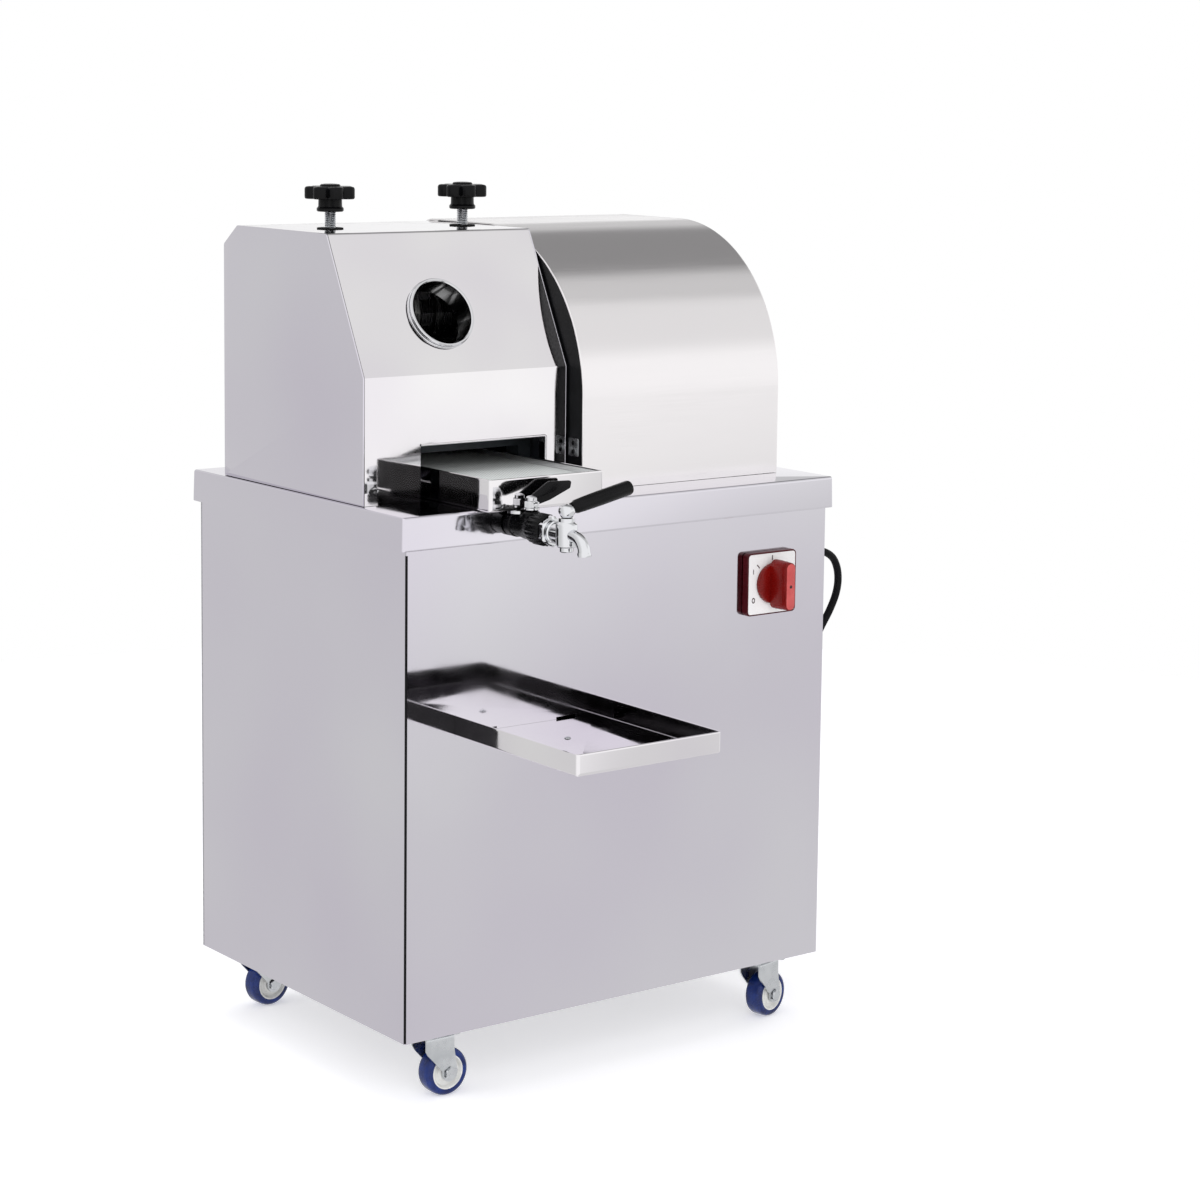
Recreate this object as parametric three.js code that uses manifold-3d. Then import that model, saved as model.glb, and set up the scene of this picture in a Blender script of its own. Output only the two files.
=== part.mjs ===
// A cabinet-type electric sugarcane juicer: a three-roller mill in a stainless head, its gear and
// belt drive under an arched cover, both standing on a wheeled cabinet that holds the motor.
// Millimetres, +Z up, the front faces -Y, and the origin is under the middle of the machine.
import * as THREE from "three";
import { mergeVertices } from "three/addons/utils/BufferGeometryUtils.js";
import Module from "manifold-3d";

const wasm = await Module();
wasm.setup();

// Stock and fits
const sheet = 2; // folded stainless sheet
const fit = 0.3; // gap between pieces that touch
const running = 0.3; // radial gap of a shaft in its bore

// Cabinet
const capWidth = 557;
const capDepth = 416;
const capSkirt = 34;
const cabinetHeight = 532; // underside of the cabinet to the top of the cap
const castorHeight = 72.5; // floor to the underside of the cabinet
const bodySideInset = 7; // cap edge to the side panels
const bodyFrontInset = 4; // cap edge to the front panel
const basePlate = 3;
const angleLeg = 25; // angle iron of the cabinet's frame
const angleWall = 3;
const railLeg = 20;
const shelfDepth = 232; // top of the cap down to the motor shelf
const shelfPlate = 4;

// Cup tray on the front panel
const trayWidth = 176;
const trayReach = 200; // ahead of the cap's front edge
const trayHeight = 22;
const trayLeft = 65; // from the cap's left edge
const trayDrop = 204; // top of the cap down to the tray's rim
const hookWidth = 24;
const hookDrop = 12;
const hookRoom = 2.5; // over the tongues, to tilt the hooks in

// Rotary switch
const switchPlate = 68;
const switchProud = 9;
const switchRight = 89; // centre, from the cap's right edge
const switchDrop = 108; // centre, below the top of the cap
const switchBack = 42; // contact block's size behind the panel
const knobDisc = 44;
const knobDiscDepth = 6;
const knobBar = 53;
const knobBarWidth = 15;
const knobProud = 31;

// Mains cord
const cord = 8.5;
const glandBack = 70; // behind the cap's front edge
const glandDrop = 96; // below the top of the cap
const glandHex = 24;
const reliefLength = 38;
const coilPitch = 10.2; // from turn to turn and from layer to layer
const coilOuter = 57; // radius of the outer turn's middle
const coilTurns = 1.5; // in each of the two layers
const plugWidth = 38;
const plugBody = 44;
const plugRelief = 20;
const plugPins = 18;
const pinSpacing = 13;
const coilRight = 652.4; // coil's middle, from the cap's left edge
const coilBack = 330; // coil's middle, behind the cap's front edge

// Castors
const castorSide = 62; // swivel axis to the cap's side edge
const castorFront = 36; // front pair, behind the cap's front edge
const castorRear = 30; // rear pair, ahead of the cap's rear edge
const wheel = 50;
const tyreWidth = 21;
const hubDisc = 38;
const trail = 12;
const castorPlate = 46;
const castorPlateWall = 2.5;
const forkHead = 5; // height of the swivel's race
const forkWidth = 34;
const forkWall = 2;
const forkEye = 9; // radius of the fork round its axle
const axle = 8;

// Roller head
const headLeft = 6; // from the cap's left edge
const headWidth = 251;
const headFront = 82; // behind the cap's front edge
const headBack = 358;
const headHeight = 268.5; // above the cap
const slopeFoot = 128.5; // the slope starts here, above the cap
const slopeRun = 70; // how far back the slope leans
const backChamfer = 28; // at the top rear
const backChamferDrop = 20.5;
const mouthHeight = 57; // open front above the cap
const mouthLeft = 74.5; // from the cap's left edge
const mouthWidth = 155;
const feedTube = 73;
const feedBore = 68.4;
const feedProud = 6;
const feedInside = 22;
const feedAcross = 116.5; // from the cap's left edge
const feedUp = 0.413; // place of the feed along the slope, 0 at its foot and 1 at its top
const outletLeft = 60; // bagasse outlet in the head's back
const outletWidth = 160;
const outletFoot = 46;
const outletHeight = 92;
const chuteReach = 38;
const hoodMargin = 8; // hood past the outlet's edges

// Mill
const knobLeft = 58; // left pressure knob and mill plate, from the cap's left edge
const knobSpacing = 165;
const millPlate = 20;
const millDepth = 170;
const bedFoot = 40; // underside of the mill bed above the cap
const bedHeight = 14;
const bedBar = 22;
const bedPost = 16;
const rollerAxisBack = 228;
const rollerAxisUp = 180; // top roller's axis above the cap
const rollerSpread = 88; // between the two lower rollers
const roller = 73;
const rollerGroove = 1.2;
const rollerShaft = 30;
const blockWidth = 50;
const blockHeight = 46;
const bridge = 12; // bar over each bearing block
const plateHead = 104; // length of the mill plates' upper end
const plateTopGap = 4; // mill plates to the head's roof
const stud = 12;
const studPitch = 1.75;
const studTurns = 1; // turns that the knobs open the mill from rest
const starKnob = 53;
const starLobes = 7;
const starHeight = 13;
const starHub = 28;
const starHubHeight = 13;
const studBare = 18;

// Gears
const rollerModule = 4.75;
const rollerTeeth = 16;
const rollerGearWidth = 15;
const rollerAddendum = 0.85; // in modules
const pressureAngle = 20; // degrees
const bullModule = 3;
const bullTeeth = 57;
const pinionTeeth = 17;
const bullBacklash = 0.5;
const bullAddendum = 0.95; // in modules
const bullWidth = 18;
const pinionRise = 36; // countershaft above the driven roller

// Belt drive
const beltPulley = 160;
const motorPulley = 60;
const beltWidth = 13;
const beltThick = 8;
const countershaft = 20;
const motorFoot = 12; // under the motor's body
const motorBody = 136;
const motorLength = 170;
const motorShaft = 19;
const bullInset = 32.2; // cover's left end plate to the bull gear
const bullToStand = 12;
const standPlate = 10;
const standFoot = 6; // thickness of the stand's foot plates
const countershaftBoss = 26; // radius of the stand round the countershaft
const drivenBoss = 34; // radius of the stand round the driven shaft
const standToPulley = 38;
const pulleyToStand = 34;
const pulleyLand = 6; // pulley's rim on each side of the belt
const pulleyToMotor = 14;
const rotorStub = 24; // shaft inside the motor's end
const footLength = 26; // each of the motor's two feet

// Drive cover
const coverLeft = 258.8; // from the cap's left edge
const coverEdge = 32.4; // its right end, from the cap's right edge
const coverFront = 56.5;
const coverBack = 370;
const coverRadius = 175.5;
const coverHeight = 270;
const coverRearRadius = 30;
const bracketWidth = 15; // fixing bracket of the left end plate
const bracketHeight = 19;
const bracketFoot = 2; // above the cap, and behind the cover's front

// Juice drawer and its outlet
const drawerWidth = 140;
const drawerLeft = 87;
const drawerProud = 22; // ahead of the cap
const drawerDepth = 330;
const drawerHeight = 33;
const outletLine = 130; // outlet, from the cap's left edge
const valveDrop = 15; // outlet axis below the top of the cap
const valveRear = 26;
const valveFront = 32;
const valveLength = 61;
const valveFlange = 20; // length of the valve's wide front
const leverReach = 48;
const leverRise = 27; // the blade's top above the lever's foot
const leverThick = 4;
const leverHub = 17;
const leverHubHeight = 14.5;
const couplingLength = 9;
const spout = 12.5;
const tapGrip = 15;
const tapGripLength = 70;
const tapGripLean = 12; // degrees, its end upwards
const tapBall = 13; // height of the ball that the grip is set in

// The machine's reference lines: across from the cap's left edge, back from its front edge, and
// up from its top face.
const capTop = castorHeight + cabinetHeight;
const capFront = (trayReach - capDepth) / 2;
const across = (v) => v - capWidth / 2;
const back = (u) => capFront + u;
const up = (h) => capTop + h;

// Solids from three.js geometry
function solid(geometry) {
  const bare = geometry.index ? geometry.toNonIndexed() : geometry.clone();
  for (const name of Object.keys(bare.attributes)) {
    if (name !== "position") bare.deleteAttribute(name);
  }
  const merged = mergeVertices(bare, 1e-3);
  return new wasm.Manifold(
    new wasm.Mesh({
      numProp: 3,
      vertProperties: new Float32Array(merged.attributes.position.array),
      triVerts: new Uint32Array(merged.index.array),
    }),
  );
}

function geometryOf(shape) {
  const made = shape.getMesh();
  const geometry = new THREE.BufferGeometry();
  const positions = new Float32Array(made.vertProperties);
  geometry.setAttribute("position", new THREE.BufferAttribute(positions, 3));
  geometry.setIndex(new THREE.BufferAttribute(new Uint32Array(made.triVerts), 1));
  geometry.computeVertexNormals();
  return geometry;
}

function join(...shapes) {
  return shapes.slice(1).reduce((all, next) => all.add(next), shapes[0]);
}

function cut(shape, ...tools) {
  return tools.reduce((left, tool) => left.subtract(tool), shape);
}

// A block between two corners
function block(x0, x1, y0, y1, z0, z1) {
  const geometry = new THREE.BoxGeometry(x1 - x0, y1 - y0, z1 - z0);
  geometry.translate((x0 + x1) / 2, (y0 + y1) / 2, (z0 + z1) / 2);
  return solid(geometry);
}

// Turns a geometry made along +Z so that it lies along the named axis.
function layAlong(geometry, axis) {
  if (axis === "x") geometry.rotateY(Math.PI / 2);
  if (axis === "y") geometry.rotateX(-Math.PI / 2);
  return geometry;
}

// A round bar along an axis, from a to b, through the point at
function bar(axis, diameter, a, b, at, sides = 20) {
  const geometry = new THREE.CylinderGeometry(diameter / 2, diameter / 2, b - a, sides);
  geometry.rotateX(Math.PI / 2);
  geometry.translate(0, 0, (a + b) / 2);
  layAlong(geometry, axis);
  return solid(geometry.translate(...at));
}

// A turned piece: [radius, distance] points along an axis, starting and ending on that axis or
// closing on themselves
function turned(axis, points, at, sides = 24) {
  const profile = points.map(([r, z]) => new THREE.Vector2(r, z));
  if (points[0][0] > 0) profile.push(profile[0].clone());
  const geometry = new THREE.LatheGeometry(profile, sides);
  geometry.rotateX(Math.PI / 2);
  layAlong(geometry, axis);
  const merged = new THREE.BufferGeometry().copy(geometry);
  let made = solidOrTurnedOver(merged);
  return made.translate(at);
}

// A closed surface as a solid, with its faces pointing outwards
function solidOrTurnedOver(geometry) {
  const made = solid(geometry);
  if (made.volume() > 0) return made;
  const index = geometry.index.array;
  for (let i = 0; i < index.length; i += 3) {
    [index[i + 1], index[i + 2]] = [index[i + 2], index[i + 1]];
  }
  return solid(geometry);
}

// An outline in the (back, up) plane, extruded across the machine from v0 to v1
function slab(outline, v0, v1) {
  const shape = new THREE.Shape(outline.map(([u, h]) => new THREE.Vector2(u, h)));
  const geometry = new THREE.ExtrudeGeometry(shape, { depth: v1 - v0, bevelEnabled: false });
  // shape x runs back, shape y runs up, and the extrusion runs across
  geometry.applyMatrix4(new THREE.Matrix4().set(0, 0, 1, 0, 1, 0, 0, 0, 0, 1, 0, 0, 0, 0, 0, 1));
  return solid(geometry).translate([across(v0), capFront, capTop]);
}

// An outline in a horizontal plane, extruded upwards
function upright(outline, z0, z1, at = [0, 0]) {
  const shape = new THREE.Shape(outline.map(([x, y]) => new THREE.Vector2(x, y)));
  const geometry = new THREE.ExtrudeGeometry(shape, { depth: z1 - z0, bevelEnabled: false });
  return solid(geometry.translate(at[0], at[1], z0));
}

// The outline moved inwards by a wall, corner by corner; the points run clockwise
function inset(points, wall) {
  const moved = [];
  for (let i = 1; i < points.length - 1; i += 1) {
    const before = unit(points[i - 1], points[i]);
    const after = unit(points[i], points[i + 1]);
    const bend = 1 + before[0] * after[0] + before[1] * after[1];
    const nx = before[1] + after[1];
    const ny = -before[0] - after[0];
    moved.push([points[i][0] + (nx * wall) / bend, points[i][1] + (ny * wall) / bend]);
  }
  const first = unit(points[0], points[1]);
  const last = unit(points.at(-2), points.at(-1));
  moved.unshift([points[0][0] + first[1] * wall, points[0][1] - first[0] * wall]);
  moved.push([points.at(-1)[0] + last[1] * wall, points.at(-1)[1] - last[0] * wall]);
  return moved;
}

function unit(a, b) {
  const length = Math.hypot(b[0] - a[0], b[1] - a[1]);
  return [(b[0] - a[0]) / length, (b[1] - a[1]) / length];
}

// A folded sheet: the outer line, clockwise, and the same line one wall further in
function folded(points, wall) {
  return [...points, ...inset(points, wall).reverse()];
}

function arc(cx, cy, radius, from, to, steps) {
  return Array.from({ length: steps + 1 }, (_, i) => {
    const angle = THREE.MathUtils.degToRad(from + ((to - from) * i) / steps);
    return [cx + radius * Math.cos(angle), cy + radius * Math.sin(angle)];
  });
}

// Finishes
const polished = { color: 0xd7d4de, roughness: 0.22, metalness: 1 };
const brushed = { color: 0xbdbbc0, roughness: 0.35, metalness: 1 };
const chrome = { color: 0xe6e6e8, roughness: 0.08, metalness: 1 };
const steel = { color: 0x9a9a98, roughness: 0.4, metalness: 1 };
const castIron = { color: 0x4b4f52, roughness: 0.7, metalness: 0.6 };
const painted = { color: 0x24262a, roughness: 0.5, metalness: 0 };
const blackPlastic = { color: 0x161618, roughness: 0.4, metalness: 0 };
const rubber = { color: 0x1a1a1b, roughness: 0.8, metalness: 0 };
const redPlastic = { color: 0xb8242c, roughness: 0.35, metalness: 0 };
const bluePolyurethane = { color: 0x1b2f8a, roughness: 0.35, metalness: 0 };
const zinc = { color: 0xc9ccd0, roughness: 0.35, metalness: 1 };

const juicer = new THREE.Group();

function add(name, shape, finish, group = juicer) {
  const mesh = new THREE.Mesh(geometryOf(shape), new THREE.MeshStandardMaterial(finish));
  mesh.name = name;
  group.add(mesh);
  return mesh;
}

// Cabinet: folded cap, four panels and a base plate round a welded angle-iron frame
const bodyLeft = bodySideInset;
const bodyRight = capWidth - bodySideInset;
const bodyFront = bodyFrontInset;
const bodyBack = capDepth - sheet - 2;
const bodyFoot = castorHeight;
const bodyTop = up(-sheet - fit);
const innerLeft = bodyLeft + sheet + fit;
const innerRight = bodyRight - sheet - fit;
const innerFront = bodyFront + sheet + fit;
const innerBack = bodyBack - sheet - fit;

// Places that several pieces share
const switchMiddle = capWidth - switchRight;
const millPlates = [knobLeft, knobLeft + knobSpacing];
const rollerCentres = rollerModule * rollerTeeth;
const lowerDrop = Math.sqrt(rollerCentres ** 2 - (rollerSpread / 2) ** 2);
const openTravel = studPitch * studTurns; // how far the top roller rises when the mill is opened
// the top roller's rise slides its teeth sideways in their mesh, and also draws them apart
const meshSlide = (openTravel * rollerSpread) / 2 / rollerCentres;
const meshParting = (openTravel * lowerDrop) / rollerCentres;
const backlash = fit + 2 * (meshSlide - meshParting * Math.tan(THREE.MathUtils.degToRad(pressureAngle)));
const frontRoller = [rollerAxisBack - rollerSpread / 2, rollerAxisUp - lowerDrop];
const rearRoller = [rollerAxisBack + rollerSpread / 2, rollerAxisUp - lowerDrop];
const topRoller = [rollerAxisBack, rollerAxisUp];
const bullDistance = (bullModule * (bullTeeth + pinionTeeth)) / 2;
const pinionRun = Math.sqrt(bullDistance ** 2 - pinionRise ** 2);
const counter = [rearRoller[0] - pinionRun, rearRoller[1] + pinionRise];
const headRight = headLeft + headWidth;
const coverRight = capWidth - coverEdge;
const gearLeft = millPlates[1] + millPlate / 2 + 3;
const bullLeft = coverLeft + sheet + bullInset;
const standLeft = bullLeft + bullWidth + bullToStand; // inner upright of the drive stand
const pulleyLeft = standLeft + standPlate + standToPulley;
const pulleyWidth = beltWidth + 2 * pulleyLand;
const standRight = pulleyLeft + pulleyWidth + pulleyToStand;
const beltLeft = pulleyLeft + (pulleyWidth - beltWidth) / 2;

function makeCap() {
  let cap = cut(
    block(across(0), across(capWidth), back(0), back(capDepth), up(-capSkirt), up(0)),
    block(
      across(sheet),
      across(capWidth - sheet),
      back(sheet),
      back(capDepth - sheet),
      up(-capSkirt - 1),
      up(-sheet),
    ),
  );
  // slot where the belt comes up into the drive cover
  const slotMiddle = counter[0];
  const slotHalf = beltPulley / 2;
  cap = cut(
    cap,
    block(
      across(pulleyLeft - pulleyLand),
      across(pulleyLeft + pulleyWidth + pulleyLand),
      back(slotMiddle - slotHalf),
      back(slotMiddle + slotHalf),
      up(-sheet - 1),
      up(1),
    ),
  );
  add("top_cap", cap, polished);
}

function makePanels() {
  const between = [back(innerFront), back(innerBack), bodyFoot, bodyTop];
  const left = block(across(bodyLeft), across(bodyLeft + sheet), ...between);
  add("left_panel", left, polished);

  const glandHole = bar("x", glandHex * 0.7 + 2 * running, -5, 5, [
    across(bodyRight),
    back(glandBack),
    up(-glandDrop),
  ]);
  const right = cut(
    block(across(bodyRight - sheet), across(bodyRight), ...between),
    glandHole,
  );
  add("right_panel", right, polished);

  const hookSlots = hookPlaces().map((v) =>
    block(
      across(v - hookWidth / 2 - fit),
      across(v + hookWidth / 2 + fit),
      back(bodyFront - 1),
      back(bodyFront + sheet + 1),
      up(-trayDrop - trayHeight) - fit,
      up(-trayDrop - trayHeight) + sheet + hookRoom,
    ),
  );
  const half = switchBack / 2 + fit;
  const switchHole = block(
    across(switchMiddle - half),
    across(switchMiddle + half),
    back(bodyFront - 1),
    back(bodyFront + sheet + 1),
    up(-switchDrop - half),
    up(-switchDrop + half),
  );
  const front = cut(
    block(
      across(bodyLeft),
      across(bodyRight),
      back(bodyFront),
      back(bodyFront + sheet),
      bodyFoot,
      bodyTop,
    ),
    switchHole,
    ...hookSlots,
  );
  add("front_panel", front, polished);

  // the back panel breathes through two rows of louvre slots
  const slots = [];
  const slotCount = 6;
  const slotLength = 60;
  const slotHeight = 6;
  const slotGap = 14;
  const slotFoot = 60; // lowest slot above the motor shelf
  for (const middle of [capWidth * 0.3, capWidth * 0.7]) {
    for (let i = 0; i < slotCount; i += 1) {
      const foot = up(slotFoot - shelfDepth) + i * slotGap;
      slots.push(
        block(
          across(middle - slotLength / 2),
          across(middle + slotLength / 2),
          back(bodyBack - sheet - 1),
          back(bodyBack + 1),
          foot,
          foot + slotHeight,
        ),
      );
    }
  }
  const rear = cut(
    block(
      across(bodyLeft),
      across(bodyRight),
      back(bodyBack - sheet),
      back(bodyBack),
      bodyFoot,
      bodyTop,
    ),
    ...slots,
  );
  add("back_panel", rear, brushed);

  const base = block(
    across(innerLeft),
    across(innerRight),
    back(innerFront),
    back(innerBack),
    bodyFoot,
    bodyFoot + basePlate,
  );
  add("base_plate", base, steel);
}

// Frame: angle-iron posts at the corners, joined by rails at the foot, the shelf and the top
function makeFrame() {
  const x0 = across(innerLeft);
  const x1 = across(innerRight);
  const y0 = back(innerFront);
  const y1 = back(innerBack);
  const z0 = bodyFoot + basePlate + fit;
  const z1 = bodyTop;
  const shelf = up(-shelfDepth) - shelfPlate - fit;
  const parts = [];
  for (const [x, dx] of [[x0, 1], [x1, -1]]) {
    for (const [y, dy] of [[y0, 1], [y1, -1]]) {
      parts.push(block(...sorted(x, x + dx * angleLeg), ...sorted(y, y + dy * angleWall), z0, z1));
      parts.push(block(...sorted(x, x + dx * angleWall), ...sorted(y, y + dy * angleLeg), z0, z1));
    }
    for (const [z, dz] of [[z0, 1], [shelf, -1], [z1, -1]]) {
      parts.push(block(...sorted(x, x + dx * railLeg), y0, y1, ...sorted(z, z + dz * angleWall)));
    }
  }
  for (const [y, dy] of [[y0, 1], [y1, -1]]) {
    for (const [z, dz] of [[z0, 1], [z1, -1]]) {
      parts.push(block(x0, x1, ...sorted(y, y + dy * railLeg), ...sorted(z, z + dz * angleWall)));
    }
  }
  add("cabinet_frame", join(...parts), painted);
}

function sorted(a, b) {
  return a < b ? [a, b] : [b, a];
}

// Cup tray, open at the panel; its floor ends in two tongues hooked into slots there
function hookPlaces() {
  return [trayLeft + trayWidth * 0.22, trayLeft + trayWidth * 0.78];
}

function makeCupTray() {
  const front = -trayReach;
  const rear = bodyFront - fit;
  const rim = up(-trayDrop);
  const foot = rim - trayHeight;
  let tray = cut(
    block(across(trayLeft), across(trayLeft + trayWidth), back(front), back(rear), foot, rim),
    block(
      across(trayLeft + sheet),
      across(trayLeft + trayWidth - sheet),
      back(front + sheet),
      back(rear + 1),
      foot + sheet,
      rim + 1,
    ),
  );
  for (const v of hookPlaces()) {
    const x = [across(v - hookWidth / 2), across(v + hookWidth / 2)];
    const behind = bodyFront + sheet + fit;
    tray = join(
      tray,
      block(...x, back(rear - sheet), back(behind + sheet), foot, foot + sheet),
      block(...x, back(behind), back(behind + sheet), foot - hookDrop, foot + sheet),
    );
  }
  add("cup_tray", tray, polished);
}

function makeSwitch() {
  const x = across(switchMiddle);
  const z = up(-switchDrop);
  const face = back(bodyFront) - fit;
  const proud = back(bodyFront - switchProud);
  const half = switchPlate / 2;
  const corner = 5;
  const outline = [
    ...arc(half - corner, half - corner, corner, 0, 90, 3),
    ...arc(corner - half, half - corner, corner, 90, 180, 3),
    ...arc(corner - half, corner - half, corner, 180, 270, 3),
    ...arc(half - corner, corner - half, corner, 270, 360, 3),
  ];
  const plate = upright(outline, 0, face - proud).rotate([90, 0, 0]).translate([x, face, z]);
  const inner = switchBack / 2;
  const rear = back(bodyFront + sheet + switchBack);
  const contacts = block(x - inner, x + inner, face - 1, rear, z - inner, z + inner);
  const bore = bar("y", motorShaft * 0.5 + 2 * running, -14, 1, [x, proud + 12, z], 16);
  add("switch_housing", cut(join(plate, contacts), bore), redPlastic);

  const disc = bar("y", knobDisc, -knobDiscDepth, 0, [0, 0, 0], 32);
  const width = knobBarWidth / 2;
  const reach = knobBar / 2;
  const grip = [
    ...arc(0, reach - width, width, 0, 180, 8),
    ...arc(0, width - reach, width, 180, 360, 8),
  ];
  const handle = upright(grip, 0, knobProud).rotate([90, 0, 0]);
  const stem = bar("y", motorShaft * 0.5, -1, 10, [0, 0, 0], 16);
  const knob = join(disc, handle, stem).translate([x, proud - fit, z]);
  add("switch_knob", knob, redPlastic);
}

// Cable gland in the right panel, with a ribbed strain relief
const glandFace = bodyRight + fit;
const reliefEnd = glandFace + 6 + reliefLength;

function makeGland() {
  const at = [across(0), back(glandBack), up(-glandDrop)];
  const neck = (glandHex * 0.7) / 2;
  const inside = bodyRight - sheet - 6;
  const rib = 1.1;
  const profile = [
    [0, inside],
    [neck, inside],
    [neck, glandFace],
    [glandHex / 2, glandFace],
    [glandHex / 2, glandFace + 6],
  ];
  const ribs = 4;
  const step = reliefLength / ribs;
  for (let i = 0; i < ribs; i += 1) {
    const radius = neck + 0.6 - ((neck + 0.6 - cord / 2 - 1.6) * i) / (ribs - 1);
    const start = glandFace + 6 + i * step;
    profile.push([radius, start], [radius, start + step * 0.62], [radius - rib, start + step * 0.7]);
    profile.push([radius - rib, start + step]);
  }
  profile.push([0, reliefEnd]);
  add("cord_gland", turned("x", profile, at, 12), rubber);
}

// The cord's free stretch, from the gland to the coil, as points chosen by hand: across from the
// cap's left edge, back from its front edge, and up from the floor
const cordRoute = [
  [reliefEnd + fit, glandBack, capTop - glandDrop],
  [604, 70, 508],
  [613, 70, 505],
  [623, 71, 498],
  [630, 72, 486],
  [633.5, 74, 471],
  [633, 77, 455],
  [628, 81, 437],
  [621, 86, 419],
  [614, 92, 398],
  [608, 99, 372],
  [603, 107, 340],
  [600, 116, 300],
  [598, 126, 255],
  [596.5, 137, 205],
  [595.5, 150, 155],
  [595, 165, 108],
  [595, 183, 66],
  [595.2, 205, 33],
  [595.4, 232, 12],
  [595.4, 262, 4.9],
  [595.4, 292, 4.5],
  [595.4, 321.2, 4.5],
];
const floorLine = 4.5; // middle of the cord where it lies on the floor
const coilStart = cordRoute.at(-1)[1] + fit;

function makeCord() {
  const points = cordRoute.map(([v, u, z]) => new THREE.Vector3(across(v), back(u), z));
  const path = new THREE.CatmullRomCurve3(points, false, "centripetal");
  path.arcLengthDivisions = 800;
  console.log("cord free stretch " + path.getLength().toFixed(1) + " mm");
  add("power_cord", tube(path, cord, 36, 8), rubber);
}

// A tube along a curve
function tube(path, diameter, steps, sides) {
  const ring = Array.from({ length: sides }, (_, i) => {
    const angle = (i / sides) * 2 * Math.PI;
    return new THREE.Vector2((diameter / 2) * Math.cos(angle), (diameter / 2) * Math.sin(angle));
  });
  const shape = new THREE.Shape(ring);
  const geometry = new THREE.ExtrudeGeometry(shape, { steps, extrudePath: path, bevelEnabled: false });
  return solidOrTurnedOver(geometry);
}

// The rest of the cord, wound in a coil of two layers: the turns spiral in on the floor, climb
// through the half turn where they reverse, and spiral out again on top
function coilPoint(turn) {
  const inwards = Math.min(turn, coilTurns);
  const outwards = Math.max(turn - coilTurns - 0.5, 0);
  const radius = coilOuter - coilPitch * (inwards - outwards);
  const climb = THREE.MathUtils.clamp((turn - coilTurns) / 0.5, 0, 1);
  const angle = Math.PI - turn * 2 * Math.PI;
  return [radius * Math.cos(angle), radius * Math.sin(angle), floorLine + coilPitch * climb];
}

const coilSteps = 24; // to a turn
const coilWhole = 2 * coilTurns + 0.5;
const coilTail = 30; // straight run off the coil to the plug

function coilCentreline() {
  const count = Math.round(coilWhole * coilSteps);
  const turns = Array.from({ length: count + 1 }, (_, i) => coilPoint((i / count) * coilWhole));
  const [first, last] = [turns[0], turns.at(-1)];
  return [
    [first[0], -(coilBack - coilStart), first[2]],
    [first[0], (first[1] - (coilBack - coilStart)) / 2, first[2]],
    ...turns,
    [last[0], last[1] - coilTail / 2, last[2]],
    [last[0], last[1] - coilTail, last[2]],
  ];
}

function makeCoil() {
  const line = coilCentreline();
  console.log("coil length " + lengthOf(line).toFixed(1) + " mm");
  console.log("coil's least gap to itself " + leastGap(line).toFixed(2) + " mm");
  const middle = [across(coilRight), back(coilBack), 0];
  add("cord_coil", sweep(line, cord, 6).translate(middle), rubber);
}

function lengthOf(line) {
  return line.slice(1).reduce((sum, p, i) => sum + Math.hypot(...p.map((c, k) => c - line[i][k])), 0);
}

// The least gap between the wound tube and itself, measured between points over half a turn apart
function leastGap(line) {
  let least = Infinity;
  line.forEach((p, i) => {
    for (let j = i + coilSteps / 2; j < line.length; j += 1) {
      least = Math.min(least, Math.hypot(...p.map((c, k) => c - line[j][k])));
    }
  });
  return least - cord;
}

// A tube of flat sides along a polyline, with its rings square to the line and its ends closed
function sweep(line, diameter, sides) {
  const positions = [];
  line.forEach((p, i) => {
    const before = line[Math.max(i - 1, 0)];
    const after = line[Math.min(i + 1, line.length - 1)];
    const along = new THREE.Vector3(...after).sub(new THREE.Vector3(...before)).normalize();
    const side = new THREE.Vector3(0, 0, 1).cross(along).normalize();
    const over = along.clone().cross(side);
    for (let k = 0; k < sides; k += 1) {
      const angle = ((k + 0.5) / sides) * 2 * Math.PI;
      const point = new THREE.Vector3(...p)
        .addScaledVector(side, (diameter / 2) * Math.cos(angle))
        .addScaledVector(over, (diameter / 2) * Math.sin(angle));
      positions.push(point.x, point.y, point.z);
    }
  });
  const rings = line.length;
  positions.push(...line[0], ...line.at(-1));
  const index = [];
  for (let i = 0; i < rings - 1; i += 1) {
    for (let k = 0; k < sides; k += 1) {
      const a = i * sides + k;
      const b = i * sides + ((k + 1) % sides);
      index.push(a, b, b + sides, a, b + sides, a + sides);
    }
  }
  const [startCap, endCap] = [rings * sides, rings * sides + 1];
  for (let k = 0; k < sides; k += 1) {
    const next = (k + 1) % sides;
    index.push(startCap, next, k, endCap, (rings - 1) * sides + k, (rings - 1) * sides + next);
  }
  const geometry = new THREE.BufferGeometry();
  geometry.setAttribute("position", new THREE.Float32BufferAttribute(positions, 3));
  geometry.setIndex(index);
  return solidOrTurnedOver(geometry);
}

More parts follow.
